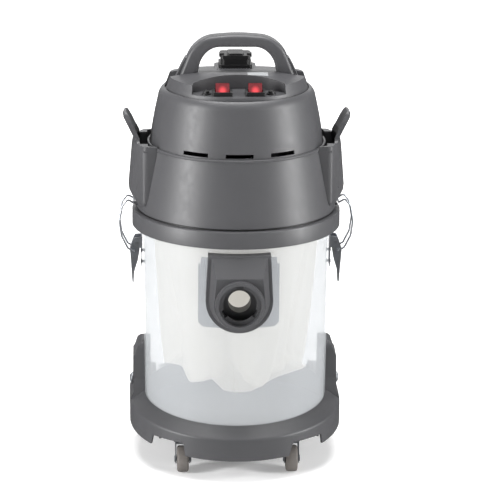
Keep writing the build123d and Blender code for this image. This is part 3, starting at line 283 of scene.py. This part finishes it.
@dataclass(frozen=True)
class MouldedPlastic:
    """Injection-moulded plastic with a fine spark-eroded grain, slight mottling and rubbed edges."""

    name: str
    colour: Colour
    roughness: float = 0.42
    grain: float = 0.0007
    depth: float = 0.00003
    mottle: float = 0.06
    mottle_size: float = 0.045
    sheen_size: float = 0.012
    wear: float = 1.35
    edge_range: Point = (0.54, 0.66)

    def material(self) -> bpy.types.Material:
        """Build the node material.

        Returns:
            The material.
        """
        sheet = NodeSheet(self.name)
        where = sheet.place()
        broad = sheet.noise(where, self.mottle_size, 4)
        base = sheet.blend(broad, shade(self.colour, 1 - self.mottle), shade(self.colour, 1 + self.mottle))
        edge = sheet.node("NewGeometry").outputs["Pointiness"]
        rubbed = sheet.remap(edge, self.edge_range, (0.0, 0.5))
        colour = sheet.blend(rubbed, base, shade(self.colour, self.wear))
        sheet.join(colour, sheet.shader.inputs["Base Color"])
        patch = sheet.noise(where, self.sheen_size, 3)
        sheen = sheet.ramp(patch, self.roughness - 0.03, self.roughness + 0.04)
        sheet.join(sheen, sheet.shader.inputs["Roughness"])
        sheet.bump(sheet.noise(where, self.grain, 2), self.depth)
        sheet.set(IOR=1.48)
        return sheet.material


@dataclass(frozen=True)
class FrostedTank:
    """Natural polyethylene, milky and part see-through, with faint flow marks and a painted glow that
    stands in for light scattered through the plastic.
    """

    name: str = "natural_tank_plastic"
    colour: Colour = (0.36, 0.375, 0.39)
    alpha: float = 0.36
    # Painted light: the tank's emission stands in for light scattered through its milky wall; the tank is
    # no lamp.
    glow: float = 0.17
    glow_colour: Colour = (0.95, 0.975, 1)

    def material(self) -> bpy.types.Material:
        """Build the node material.

        Returns:
            The material.
        """
        sheet = NodeSheet(self.name)
        flow = sheet.noise(sheet.place((1, 1, 0.35)), 0.05, 3)
        tint = sheet.blend(flow, shade(self.colour, 0.985), shade(self.colour, 1.01))
        sheet.join(tint, sheet.shader.inputs["Base Color"])
        sheet.join(sheet.ramp(flow, 0.26, 0.36), sheet.shader.inputs["Roughness"])
        sheet.bump(sheet.noise(sheet.place(), 0.0012, 2), 0.00002)
        sheet.set(IOR=1.5, Alpha=self.alpha)
        # Painted glow, standing in for light scattered through the plastic.
        sheet.set(Emission_Color=(*self.glow_colour, 1), Emission_Strength=self.glow)
        return sheet.material


@dataclass(frozen=True)
class PlatedMetal:
    """Bright plated or turned metal with a drawn grain and patches of dulling."""

    name: str
    colour: Colour
    roughness: float = 0.26
    tint: Colour = (0.38, 0.40, 0.45)
    grain: Sequence[float] = (1, 1, 0.1)

    def material(self) -> bpy.types.Material:
        """Build the node material.

        Returns:
            The material.
        """
        sheet = NodeSheet(self.name)
        dull = sheet.noise(sheet.place(), 0.006, 4)
        sheet.join(sheet.blend(dull, self.colour, self.tint), sheet.shader.inputs["Base Color"])
        sheen = sheet.ramp(dull, self.roughness - 0.07, self.roughness + 0.09)
        sheet.join(sheen, sheet.shader.inputs["Roughness"])
        sheet.bump(sheet.noise(sheet.place(self.grain), 0.0004, 2), 0.00001)
        sheet.set(Metallic=1.0)
        return sheet.material


@dataclass(frozen=True)
class SoftRubber:
    """Matt rubber or foam with a dusty bloom."""

    name: str
    colour: Colour
    roughness: float = 0.72
    pore: float = 0.0009

    def material(self) -> bpy.types.Material:
        """Build the node material.

        Returns:
            The material.
        """
        sheet = NodeSheet(self.name)
        bloom = sheet.noise(sheet.place(), 0.009, 4)
        dusty = sheet.blend(bloom, shade(self.colour, 0.85), shade(self.colour, 1.3))
        sheet.join(dusty, sheet.shader.inputs["Base Color"])
        sheen = sheet.ramp(bloom, self.roughness - 0.06, self.roughness + 0.08)
        sheet.join(sheen, sheet.shader.inputs["Roughness"])
        sheet.bump(sheet.noise(sheet.place(), self.pore, 2), 0.00008)
        sheet.set(Sheen_Weight=0.06)
        return sheet.material


@dataclass(frozen=True)
class WovenCotton:
    """Plain-woven undyed cotton, its threads laid along the piece's own UV map, with a painted glow that
    lights it where it hangs in shade inside the tank.
    """

    name: str = "undyed_filter_cotton"
    colour: Colour = (0.31, 0.295, 0.26)
    thread: float = 0.0009
    band: float = 0.314
    # Painted light: the cloth's emission stands in for light reaching it in the shaded tank; the cloth is
    # no lamp.
    glow: float = 0.52
    glow_colour: Colour = (1.0, 0.965, 0.885)

    def material(self) -> bpy.types.Material:
        """Build the node material.

        Returns:
            The material.
        """
        sheet = NodeSheet(self.name)
        uv = sheet.node("UVMap", uv_map="weave")
        heights = []
        for direction in ("X", "Y"):
            wave = sheet.node("TexWave", wave_type="BANDS", bands_direction=direction, wave_profile="SIN")
            # At scale 1 the bands of a wave texture are about 0.314 apart.
            wave.inputs["Scale"].default_value = self.band / self.thread
            wave.inputs["Distortion"].default_value = 0.6
            sheet.join(uv.outputs["UV"], wave.inputs["Vector"])
            heights.append(wave.outputs["Fac"])
        weave = sheet.node("Math", operation="MULTIPLY")
        for socket, height in zip(weave.inputs, heights):
            sheet.join(height, socket)
        stain = sheet.noise(sheet.place(), 0.06, 4)
        undyed = sheet.blend(stain, shade(self.colour, 0.93), shade(self.colour, 1.05))
        sheet.join(undyed, sheet.shader.inputs["Base Color"])
        sheet.bump(weave.outputs["Value"], 0.0003)
        sheet.set(Roughness=0.88, Sheen_Weight=0.25, Sheen_Roughness=0.5)
        # Painted glow, lifting the cloth where it lies in shade.
        sheet.set(Emission_Color=(*self.glow_colour, 1), Emission_Strength=self.glow)
        return sheet.material


@dataclass(frozen=True)
class LitLens:
    """Clear red lens with a lamp behind its middle, ribbed inside."""

    name: str
    centre: Vector
    colour: Colour = (0.085, 0.002, 0.005)
    glow: Colour = (1.0, 0.075, 0.09)
    strength: Point = (0.01, 1.1)
    spread: Point3 = (0.0105, 0.03, 0.0105)

    def material(self) -> bpy.types.Material:
        """Build the node material.

        Returns:
            The material.
        """
        sheet = NodeSheet(self.name)
        where = sheet.node("TexCoord")
        mapping = sheet.node("Mapping", vector_type="TEXTURE")
        mapping.inputs["Location"].default_value = self.centre
        mapping.inputs["Scale"].default_value = self.spread
        sheet.join(where.outputs["Object"], mapping.inputs["Vector"])
        lamp = sheet.node("TexGradient", gradient_type="SPHERICAL")
        sheet.join(mapping.outputs["Vector"], lamp.inputs["Vector"])
        strength = sheet.remap(lamp.outputs["Fac"], (0.0, 0.9), self.strength, "SMOOTHSTEP")
        sheet.join(strength, sheet.shader.inputs["Emission Strength"])
        rib = sheet.noise(sheet.place((1, 0.2, 0.2)), 0.0012, 1)
        sheet.bump(rib, 0.0001)
        sheet.set(
            Base_Color=(*self.colour, 1),
            Emission_Color=(*self.glow, 1),
            Roughness=0.5,
            Specular_IOR_Level=0.08,
        )
        return sheet.material


@dataclass(frozen=True)
class LabelFoil:
    """Blank satin foil with a brushed grain."""

    name: str = "blank_label_foil"
    colour: Colour = (0.30, 0.31, 0.32)

    def material(self) -> bpy.types.Material:
        """Build the node material.

        Returns:
            The material.
        """
        sheet = NodeSheet(self.name)
        brushed = sheet.noise(sheet.place((1, 0.06, 1)), 0.0006, 2)
        foil = sheet.blend(brushed, shade(self.colour, 0.9), shade(self.colour, 1.06))
        sheet.join(foil, sheet.shader.inputs["Base Color"])
        sheet.join(sheet.ramp(brushed, 0.3, 0.42), sheet.shader.inputs["Roughness"])
        sheet.set(Metallic=0.35)
        return sheet.material


def middle_of(node: str) -> Vector:
    """The middle of a CAD node's box at rest.

    Args:
        node: the CAD node.

    Returns:
        The point.
    """
    low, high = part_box(node)
    return (Vector(low) + Vector(high)) / 2


class Palette:
    """Every finish of the machine, built once."""

    def __init__(self) -> None:
        """Build the materials."""
        self.by_slot: dict[Slot, bpy.types.Material] = {
            Slot.GREY: MouldedPlastic("satin_grey_plastic", (0.054, 0.054, 0.0575), 0.45).material(),
            Slot.BLACK: MouldedPlastic("black_plastic", (0.009, 0.009, 0.0095), 0.45, wear=2.2).material(),
            Slot.BLUE: MouldedPlastic("blue_grey_plastic", (0.06, 0.07, 0.085), 0.5).material(),
            Slot.FLOAT: MouldedPlastic("white_float_plastic", (0.72, 0.72, 0.70), 0.4).material(),
            Slot.TANK: FrostedTank().material(),
            Slot.ZINC: PlatedMetal("bright_zinc", (0.60, 0.61, 0.63), 0.38).material(),
            Slot.STEEL: PlatedMetal("turned_steel", (0.52, 0.52, 0.53), 0.32).material(),
            Slot.TYRE: SoftRubber("warm_grey_tyre", (0.125, 0.113, 0.104), 0.62).material(),
            Slot.SEAL: SoftRubber("black_foam_seal", (0.012, 0.012, 0.012)).material(),
            Slot.CLOTH: WovenCotton().material(),
            Slot.MOTOR: PlatedMetal("pressed_aluminium", (0.6, 0.6, 0.6), 0.4).material(),
            Slot.LABEL: LabelFoil().material(),
        }
        self.lamps: dict[str, bpy.types.Material] = {}
        for side in Side:
            rocker = f"rocker_{side.word}"
            self.lamps[rocker] = LitLens(f"red_lens_{side.word}", middle_of(rocker)).material()

    def dress(
        self, piece: bpy.types.Object, slot: Slot, material: bpy.types.Material | None = None
    ) -> None:
        """Give a piece its finish.

        Args:
            piece: the object.
            slot: the record's slot.
            material: another material than the slot's own.
        """
        piece.data.materials.clear()
        piece.data.materials.append(material or self.by_slot[slot])


# ---- mesh tools ---------------------------------------------------------------------------


def finish_mesh(name: str, mesh: bmesh.types.BMesh, sharp: float = 32.0) -> bpy.types.Object:
    """Turn a bmesh into a smooth-shaded object with its sharp edges marked.

    Args:
        name: the object's name.
        mesh: the bmesh, which is freed.
        sharp: the angle in degrees past which an edge is sharp.

    Returns:
        The new object, linked to the scene.
    """
    for face in mesh.faces:
        face.smooth = True
    for edge in mesh.edges:
        edge.smooth = not (len(edge.link_faces) == 2 and edge.calc_face_angle(0.0) > math.radians(sharp))
    data = bpy.data.meshes.new(name)
    mesh.to_mesh(data)
    mesh.free()
    made = bpy.data.objects.new(name, data)
    bpy.context.scene.collection.objects.link(made)
    return made


def cleaned_copy(node: str, piece: str) -> bpy.types.Object:
    """A welded, smooth-shaded copy of a CAD node, which it replaces.

    Args:
        node: the CAD node.
        piece: the new piece's name.

    Returns:
        The copy, riding on the node's body.
    """
    source = frame["nodes"][node]
    mesh = bmesh.new()
    mesh.from_mesh(source.data)
    bmesh.ops.remove_doubles(mesh, verts=mesh.verts, dist=WELD)
    bmesh.ops.dissolve_degenerate(mesh, dist=WELD / 2, edges=mesh.edges)
    made = finish_mesh(piece, mesh)
    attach(made, source["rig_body"])
    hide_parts(node)
    return made


def round_edges(piece: bpy.types.Object, width: float) -> None:
    """Round a piece's sharp edges with a bevel modifier.

    Args:
        piece: the object.
        width: the bevel's width in metres.
    """
    bevel = piece.modifiers.new("edges", "BEVEL")
    bevel.width = width
    bevel.segments = 3
    bevel.limit_method = "ANGLE"
    bevel.angle_limit = math.radians(ROUND_ANGLE)
    bevel.harden_normals = True
    bevel.use_clamp_overlap = True


# ---- sub-assemblies -----------------------------------------------------------------------


@dataclass
class SubAssembly:
    """A named group of pieces that share the palette."""

    palette: Palette
    title: str = "sub-assembly"

    def skins(self, slot: Slot, nodes: Iterable[str], rounding: float = 0.0) -> None:
        """Give CAD nodes smooth skins in one finish.

        Args:
            slot: the finish's slot.
            nodes: the CAD nodes.
            rounding: the width of the rounding of their edges in metres, or 0.
        """
        for node in nodes:
            piece = cleaned_copy(node, f"{node}_skin")
            if rounding:
                round_edges(piece, rounding)
            self.palette.dress(piece, slot, self.palette.lamps.get(node))
            self.report(piece)

    def pair(self, slot: Slot, stems: Iterable[str], rounding: float = 0.0) -> None:
        """Skin the left and right nodes of some stems.

        Args:
            slot: the finish's slot.
            stems: the node names without their side.
            rounding: the width of the rounding of their edges in metres, or 0.
        """
        for stem in stems:
            self.skins(slot, [f"{stem}_{side.word}" for side in Side], rounding)

    def add_piece(self, name: str, mesh: bmesh.types.BMesh, body: str, slot: Slot) -> None:
        """Finish a new mesh, dress it and let it ride.

        Args:
            name: the piece's name.
            mesh: its bmesh.
            body: the CAD body that carries it.
            slot: its finish's slot.
        """
        piece = finish_mesh(name, mesh)
        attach(piece, body)
        self.palette.dress(piece, slot)
        self.report(piece)

    def report(self, piece: bpy.types.Object) -> None:
        """Say that a piece is made.

        Args:
            piece: the object.
        """
        LOG.info("%s: %s", self.title, piece.name)


@dataclass
class Trolley(SubAssembly):
    """The moulded trolley with its castors, rear wheels and axle."""

    title: str = "trolley"

    def build(self) -> None:
        """Build the trolley's pieces."""
        self.skins(Slot.GREY, ["trolley_base"])
        self.skins(Slot.STEEL, ["castor_sockets", "rear_axle"])
        self.skins(Slot.ZINC, ["axle_caps"])
        self.pair(Slot.ZINC, ["castor_fork", "castor_axle"])
        self.pair(Slot.TYRE, ["castor_tyre", "rear_tyre"])
        self.pair(Slot.BLACK, ["castor_hub", "rear_hub"])


@dataclass
class Tank(SubAssembly):
    """The frosted tank with its collar and screws."""

    title: str = "tank"

    def build(self) -> None:
        """Build the tank's pieces."""
        self.skins(Slot.TANK, ["tank"])
        self.skins(Slot.GREY, ["tank_collar"])
        self.skins(Slot.ZINC, ["tank_screws"])
        self.skins(Slot.BLACK, ["screw_washers"])


@dataclass
class HoseInlet(SubAssembly):
    """The inlet port, its gasket, backing plate and screws."""

    title: str = "hose inlet"

    def build(self) -> None:
        """Build the inlet's pieces."""
        self.skins(Slot.GREY, ["inlet_port"])
        self.skins(Slot.SEAL, ["inlet_gasket"])
        self.skins(Slot.BLUE, ["inlet_backing_plate"])
        self.skins(Slot.ZINC, ["inlet_screws"])


@dataclass
class Clamps(SubAssembly):
    """The two over-centre clamps."""

    title: str = "clamps"

    def build(self) -> None:
        """Build the clamps' pieces."""
        self.skins(Slot.ZINC, ["clamp_brackets", "bracket_rivets"])
        self.skins(Slot.STEEL, ["clamp_pins"])
        self.pair(Slot.ZINC, ["clamp_lever", "clamp_bail"])


@dataclass
class FilterBag(SubAssembly):
    """The limp cotton bag that hangs from its ring into the tank, draped by cloth simulation."""

    title: str = "filter"
    ring_r: float = 0.1585
    top_z: float = 0.4775
    hem_z: float = 0.176
    hem_r: float = 0.140
    point: float = 0.026
    draw_up: float = 0.075
    columns: int = 120
    rows: int = 44
    bottom_rows: int = 9
    flat: Point = (0.996, 0.47)
    flat_area: float = 0.37
    frames: int = 22
    reach: float = 0.164
    gores: tuple[Point3, ...] = ((0.55, 6, 0.9), (0.3, 11, 2.0), (0.15, 17, 0.0))
    pleat_depth: float = 0.0035
    fold_depth: float = 0.004
    gather_r: float = 0.012
    gather_rise: float = 0.9
    held_height: float = 0.004
    weight: float = 0.12
    stretch: float = 14.0
    bending: float = 0.08
    air_drag: float = 2.0
    cloth_thickness: float = 0.0007

    def build(self) -> None:
        """Build the ring and the bag."""
        self.skins(Slot.BLACK, ["filter_ring"])
        bag = self.sew()
        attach(bag, frame["nodes"]["cloth_filter"]["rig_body"])
        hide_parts("cloth_filter")
        self.hang(bag)
        wall = bag.modifiers.new("cloth", "SOLIDIFY")
        wall.thickness, wall.offset = self.cloth_thickness, -1.0
        self.palette.dress(bag, Slot.CLOTH)
        self.report(bag)

    def sew(self) -> bpy.types.Object:
        """Cut and close the bag: a tube with pointed gores, closed by a drawn-up bottom.

        Returns:
            The bag before it hangs, with its top row in the group "ring".
        """
        mesh = bmesh.new()
        weave = mesh.loops.layers.uv.new("weave")
        made = bmesh.ops.create_circle(mesh, segments=self.columns, radius=self.ring_r)
        bmesh.ops.translate(mesh, verts=made["verts"], vec=(0, 0, self.top_z))
        edges = list(mesh.edges)
        side, bottom = self.rows, self.bottom_rows
        for row in range(1, side + bottom + 1):
            grown = bmesh.ops.extrude_edge_only(mesh, edges=edges)["geom"]
            edges = [item for item in grown if isinstance(item, bmesh.types.BMEdge)]
            for vertex in (item for item in grown if isinstance(item, bmesh.types.BMVert)):
                self.lay(vertex, min(1.0, row / side), max(0.0, (row - side) / bottom))
        bmesh.ops.pointmerge(
            mesh,
            verts=list({vertex for edge in edges for vertex in edge.verts}),
            merge_co=(0, 0, self.hem_z + self.draw_up),
        )
        bmesh.ops.recalc_face_normals(mesh, faces=mesh.faces)
        for face in mesh.faces:
            for loop in face.loops:
                place = loop.vert.co
                across = math.atan2(place.x, -place.y) * self.ring_r
                loop[weave].uv = (across, place.z + place.xy.length)
        bag = finish_mesh("cotton_filter_bag", mesh, 180)
        held = bag.vertex_groups.new(name="ring")
        rim = [v.index for v in bag.data.vertices if v.co.z > self.top_z - self.held_height]
        held.add(rim, 1.0, "REPLACE")
        return bag

    def lay(self, vertex: bmesh.types.BMVert, down: float, inward: float) -> None:
        """Move a vertex of the bag to its place before hanging.

        Args:
            vertex: the vertex, somewhere on its column.
            down: how far down the side it lies, 0 to 1.
            inward: how far in from the hem it lies, 0 to 1.
        """
        turn = math.atan2(vertex.co.y, vertex.co.x)
        gore = sum(share * math.cos(count * turn + start) for share, count, start in self.gores)
        drift = 1.5 * math.sin(3 * turn)
        pleat = self.pleat_depth * math.sin(23 * turn + drift) + self.fold_depth * math.sin(9 * turn + 0.5)
        radius = self.ring_r + (self.hem_r - self.ring_r) * down
        radius += (pleat - self.fold_depth) * math.sin(math.pi * down / 2)
        radius = radius * (1 - inward) + self.gather_r * inward
        height = self.top_z + (self.hem_z - self.point * gore - self.top_z) * down
        height += (self.hem_z + self.draw_up - height) * math.sin(math.pi * inward / 2) * self.gather_rise
        vertex.co = Vector((radius * math.cos(turn), radius * math.sin(turn), height))

    def hang(self, bag: bpy.types.Object) -> None:
        """Let the bag hang from its ring and keep the shape it comes to.

        Args:
            bag: the sewn bag.
        """
        cloth = bag.modifiers.new("hang", "CLOTH")
        sheet = cloth.settings
        sheet.quality, sheet.mass, sheet.air_damping = 5, self.weight, self.air_drag
        sheet.tension_stiffness = sheet.compression_stiffness = self.stretch
        sheet.shear_stiffness, sheet.bending_stiffness = self.stretch, self.bending
        sheet.vertex_group_mass = "ring"
        cloth.collision_settings.use_collision = False
        cloth.collision_settings.use_self_collision = False
        cloth.point_cache.frame_end = self.frames
        scene = bpy.context.scene
        for step in range(1, self.frames + 1):
            scene.frame_set(step)
        bpy.context.view_layer.objects.active = bag
        bpy.ops.object.modifier_apply(modifier=cloth.name)
        scene.frame_set(1)
        # The bag stays clear of the tank's wall, which it is not simulated against.
        for vertex in bag.data.vertices:
            out = vertex.co.xy.length
            if out > self.reach:
                vertex.co.xy *= self.reach / out


@dataclass
class MotorHead(SubAssembly):
    """The head's shells, its two grips, the top cover and the carry handle, with a black sheet of painted
    shade in each grip's pocket.
    """

    title: str = "motor head"
    # The black sheet in each grip's pocket is painted shade: the pocket itself is only in shadow.
    liner_z: Point = (0.525, 0.632)
    liner_inner_x: float = 0.166
    liner_wall: float = 0.0006
    liner_facing: float = 0.3
    cover_rounding: float = 0.0012
    handle_rounding: float = 0.0014

    def build(self) -> None:
        """Build the head's pieces."""
        self.skins(Slot.GREY, ["head_lower_body", "head_dome"])
        self.pair(Slot.GREY, ["lift_grip"])
        self.skins(Slot.GREY, ["switch_cover"], self.cover_rounding)
        self.skins(Slot.GREY, ["carry_handle"], self.handle_rounding)
        self.skins(Slot.ZINC, ["cover_screws"])
        self.skins(Slot.LABEL, ["rating_plate"])
        self.skins(Slot.BLACK, ["cable_gland"])
        for side in Side:
            self.line_pocket(side)

    def line_pocket(self, side: Side) -> None:
        """Put a black sheet of painted shade in the finger pocket behind a grip, where the pocket is only
        in shadow.

        Args:
            side: the grip's side.
        """
        mesh = bmesh.new()
        mesh.from_mesh(frame["nodes"][f"lift_grip_{side.word}"].data)
        bmesh.ops.remove_doubles(mesh, verts=mesh.verts, dist=WELD)
        others = [face for face in mesh.faces if not self.in_pocket(face, side)]
        bmesh.ops.delete(mesh, geom=others, context="FACES")
        bmesh.ops.solidify(mesh, geom=mesh.faces, thickness=-self.liner_wall)
        # A black sheet laid on the pocket's inward faces, painted shade.
        self.add_piece(f"pocket_liner_{side.word}", mesh, "head", Slot.BLACK)

    def in_pocket(self, face: bmesh.types.BMFace, side: Side) -> bool:
        """Whether a face of a grip lies on the pocket's outer wall and looks inwards.

        Args:
            face: the face.
            side: the grip's side.

        Returns:
            True where the black painted-shade sheet covers it.
        """
        place = face.calc_center_median()
        looks_in = face.normal.x * side.value < -self.liner_facing
        low, high = self.liner_z
        return looks_in and low < place.z < high and abs(place.x) > self.liner_inner_x


@dataclass
class Controls(SubAssembly):
    """The switches, their lamps and the reset buttons."""

    title: str = "controls"
    bezel_rounding: float = 0.0008
    rocker_rounding: float = 0.0006

    def build(self) -> None:
        """Build the controls' pieces."""
        self.skins(Slot.BLACK, ["switch_bezels"], self.bezel_rounding)
        self.skins(Slot.BLACK, ["breaker_bodies"])
        self.pair(Slot.RED, ["rocker"], self.rocker_rounding)
        self.pair(Slot.BLACK, ["reset_button"])


@dataclass
class PowerSocket(SubAssembly):
    """The power-tool socket, its lid and the ribbed strip in front of it."""

    title: str = "power socket"
    rib_count: int = 13
    rib_pitch: float = 0.005
    rib_size: Point3 = (0.0026, 0.009, 0.0016)
    rib_bevel: float = 0.0005
    rib_lift: float = 0.2
    strip_place: Point = (-0.005, 0.047)
    base_rounding: float = 0.0006
    lid_rounding: float = 0.0008

    def build(self) -> None:
        """Build the socket's pieces."""
        self.skins(Slot.BLACK, ["socket_base"], self.base_rounding)
        self.skins(Slot.BLACK, ["socket_lid"], self.lid_rounding)
        self.skins(Slot.STEEL, ["lid_pin"])
        self.add_piece("crown_ribs", self.cut_ribs(), frame["nodes"]["switch_cover"]["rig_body"], Slot.GREY)

    def cut_ribs(self) -> bmesh.types.BMesh:
        """Lay a row of small grip ribs across the crown in front of the socket.

        Returns:
            The ribs' mesh.
        """
        mesh = bmesh.new()
        shell = bmesh.new()
        shell.from_mesh(frame["nodes"]["switch_cover"].data)
        cover = BVHTree.FromBMesh(shell)
        shell.free()
        lift = Vector((0, 0, self.rib_size[2] * self.rib_lift))
        for number in range(self.rib_count):
            x = self.strip_place[0] + (number - (self.rib_count - 1) / 2) * self.rib_pitch
            spot, _, _, _ = cover.ray_cast(Vector((x, self.strip_place[1], 1.0)), Vector((0, 0, -1)))
            rib = bmesh.ops.create_cube(mesh, size=1.0)["verts"]
            bmesh.ops.scale(mesh, vec=self.rib_size, verts=rib)
            bmesh.ops.translate(mesh, vec=spot + lift, verts=rib)
        bmesh.ops.bevel(
            mesh,
            geom=list(mesh.edges),
            offset=self.rib_bevel,
            affect="EDGES",
            segments=2,
            profile=0.5,
            material=-1,
        )
        return mesh


@dataclass
class InsideHead(SubAssembly):
    """What the head carries underneath: motor plate, motors, seals and float."""

    title: str = "inside the head"

    def build(self) -> None:
        """Build the pieces under the head."""
        self.skins(Slot.SEAL, ["head_gasket", "motor_gaskets"])
        self.skins(Slot.GREY, ["motor_plate"])
        self.skins(Slot.BLACK, ["float_cage"])
        self.skins(Slot.FLOAT, ["float"])
        self.pair(Slot.MOTOR, ["motor_casing", "motor_rotor"])


@dataclass
class Studio:
    """The pale floor, the soft lights and the camera."""

    camera_place: Vector = field(default_factory=lambda: Vector((-0.2303, -5.9956, 2.0577)))
    aim: Vector = field(default_factory=lambda: Vector((0.0155, -0.0006, 0.395)))
    lens: float = 237.6
    roll: float = 0.4
    floor_half: float = 30.0
    glow_radii: Point = (0.3, 3.5)
    glow_strength: Point = (0.22, 1.0)
    room_light: float = 0.12
    target: Point3 = (0, 0, 0.4)
    softboxes: tuple[tuple[str, Point3, Point, float], ...] = (
        ("left_softbox", (-2.9, -1.45, 1.0), (0.8, 2.2), 150),
        ("right_softbox", (3.0, -1.05, 1.0), (0.8, 2.2), 132),
        ("top_softbox", (0.0, 0.1, 3.2), (2.4, 1.6), 135),
        ("rear_softbox", (0.0, 3.2, 1.5), (3.4, 1.3), 22),
    )

    def build(self) -> None:
        """Make the stage."""
        self.make_floor()
        self.make_world()
        for name, place, size, power in self.softboxes:
            self.make_lamp(name, place, size, power)
        self.make_camera()
        LOG.info("studio: floor, four softboxes, camera")

    def make_floor(self) -> None:
        """Lay a plain pale floor."""
        mesh = bmesh.new()
        bmesh.ops.create_grid(mesh, x_segments=2, y_segments=2, size=self.floor_half)
        floor = finish_mesh("studio_floor", mesh)
        sheet = NodeSheet("white_paper")
        sheet.set(Base_Color=(0.93, 0.93, 0.93, 1), Roughness=0.9, Emission_Color=(1, 1, 1, 1))
        distance = sheet.node("VectorMath", operation="LENGTH")
        sheet.join(sheet.place(), distance.inputs[0])
        glow = sheet.remap(distance.outputs["Value"], self.glow_radii, self.glow_strength, "SMOOTHSTEP")
        sheet.join(glow, sheet.shader.inputs["Emission Strength"])
        floor.data.materials.append(sheet.material)
        floor.visible_glossy = False

    def make_world(self) -> None:
        """Fill the room with soft white light."""
        world = bpy.data.worlds.new("studio_world")
        world.use_nodes = True
        background = world.node_tree.nodes["Background"]
        background.inputs["Color"].default_value = (1, 1, 1, 1)
        background.inputs["Strength"].default_value = self.room_light
        bpy.context.scene.world = world

    def make_lamp(self, name: str, place: Sequence[float], size: Point, power: float) -> None:
        """Hang a rectangular softbox that points at the machine.

        Args:
            name: the lamp's name.
            place: where it hangs.
            size: its width and height in metres.
            power: its power in watts.
        """
        lamp = bpy.data.lights.new(name, "AREA")
        lamp.shape, lamp.size, lamp.size_y, lamp.energy = "RECTANGLE", size[0], size[1], power
        made = bpy.data.objects.new(name, lamp)
        made.location = place
        towards = Vector(self.target) - made.location
        made.rotation_euler = towards.to_track_quat("-Z", "Y").to_euler()
        bpy.context.scene.collection.objects.link(made)

    def make_camera(self) -> None:
        """Set the camera at its long-lens viewpoint."""
        camera = bpy.data.cameras.new("camera")
        camera.lens, camera.sensor_width, camera.clip_end = self.lens, 36.0, 100.0
        made = bpy.data.objects.new("camera", camera)
        forward = (self.aim - self.camera_place).normalized()
        right = forward.cross(Vector((0, 0, 1))).normalized()
        up = right.cross(forward)
        turn = math.radians(self.roll)
        rolled = right * math.cos(turn) + up * math.sin(turn)
        upright = up * math.cos(turn) - right * math.sin(turn)
        axes = Matrix((rolled, upright, -forward)).transposed()
        made.matrix_world = Matrix.Translation(self.camera_place) @ axes.to_4x4()
        bpy.context.scene.collection.objects.link(made)
        bpy.context.scene.camera = made


def main() -> None:
    """Build the machine and its studio."""
    logging.basicConfig(level=logging.INFO, format="%(name)s %(message)s")
    bpy.context.scene.view_settings.view_transform = "Standard"
    palette = Palette()
    for kind in (Trolley, Tank, HoseInlet, Clamps, FilterBag, MotorHead, Controls, PowerSocket, InsideHead):
        kind(palette).build()
    Studio().build()


if __name__ == "__main__":
    main()
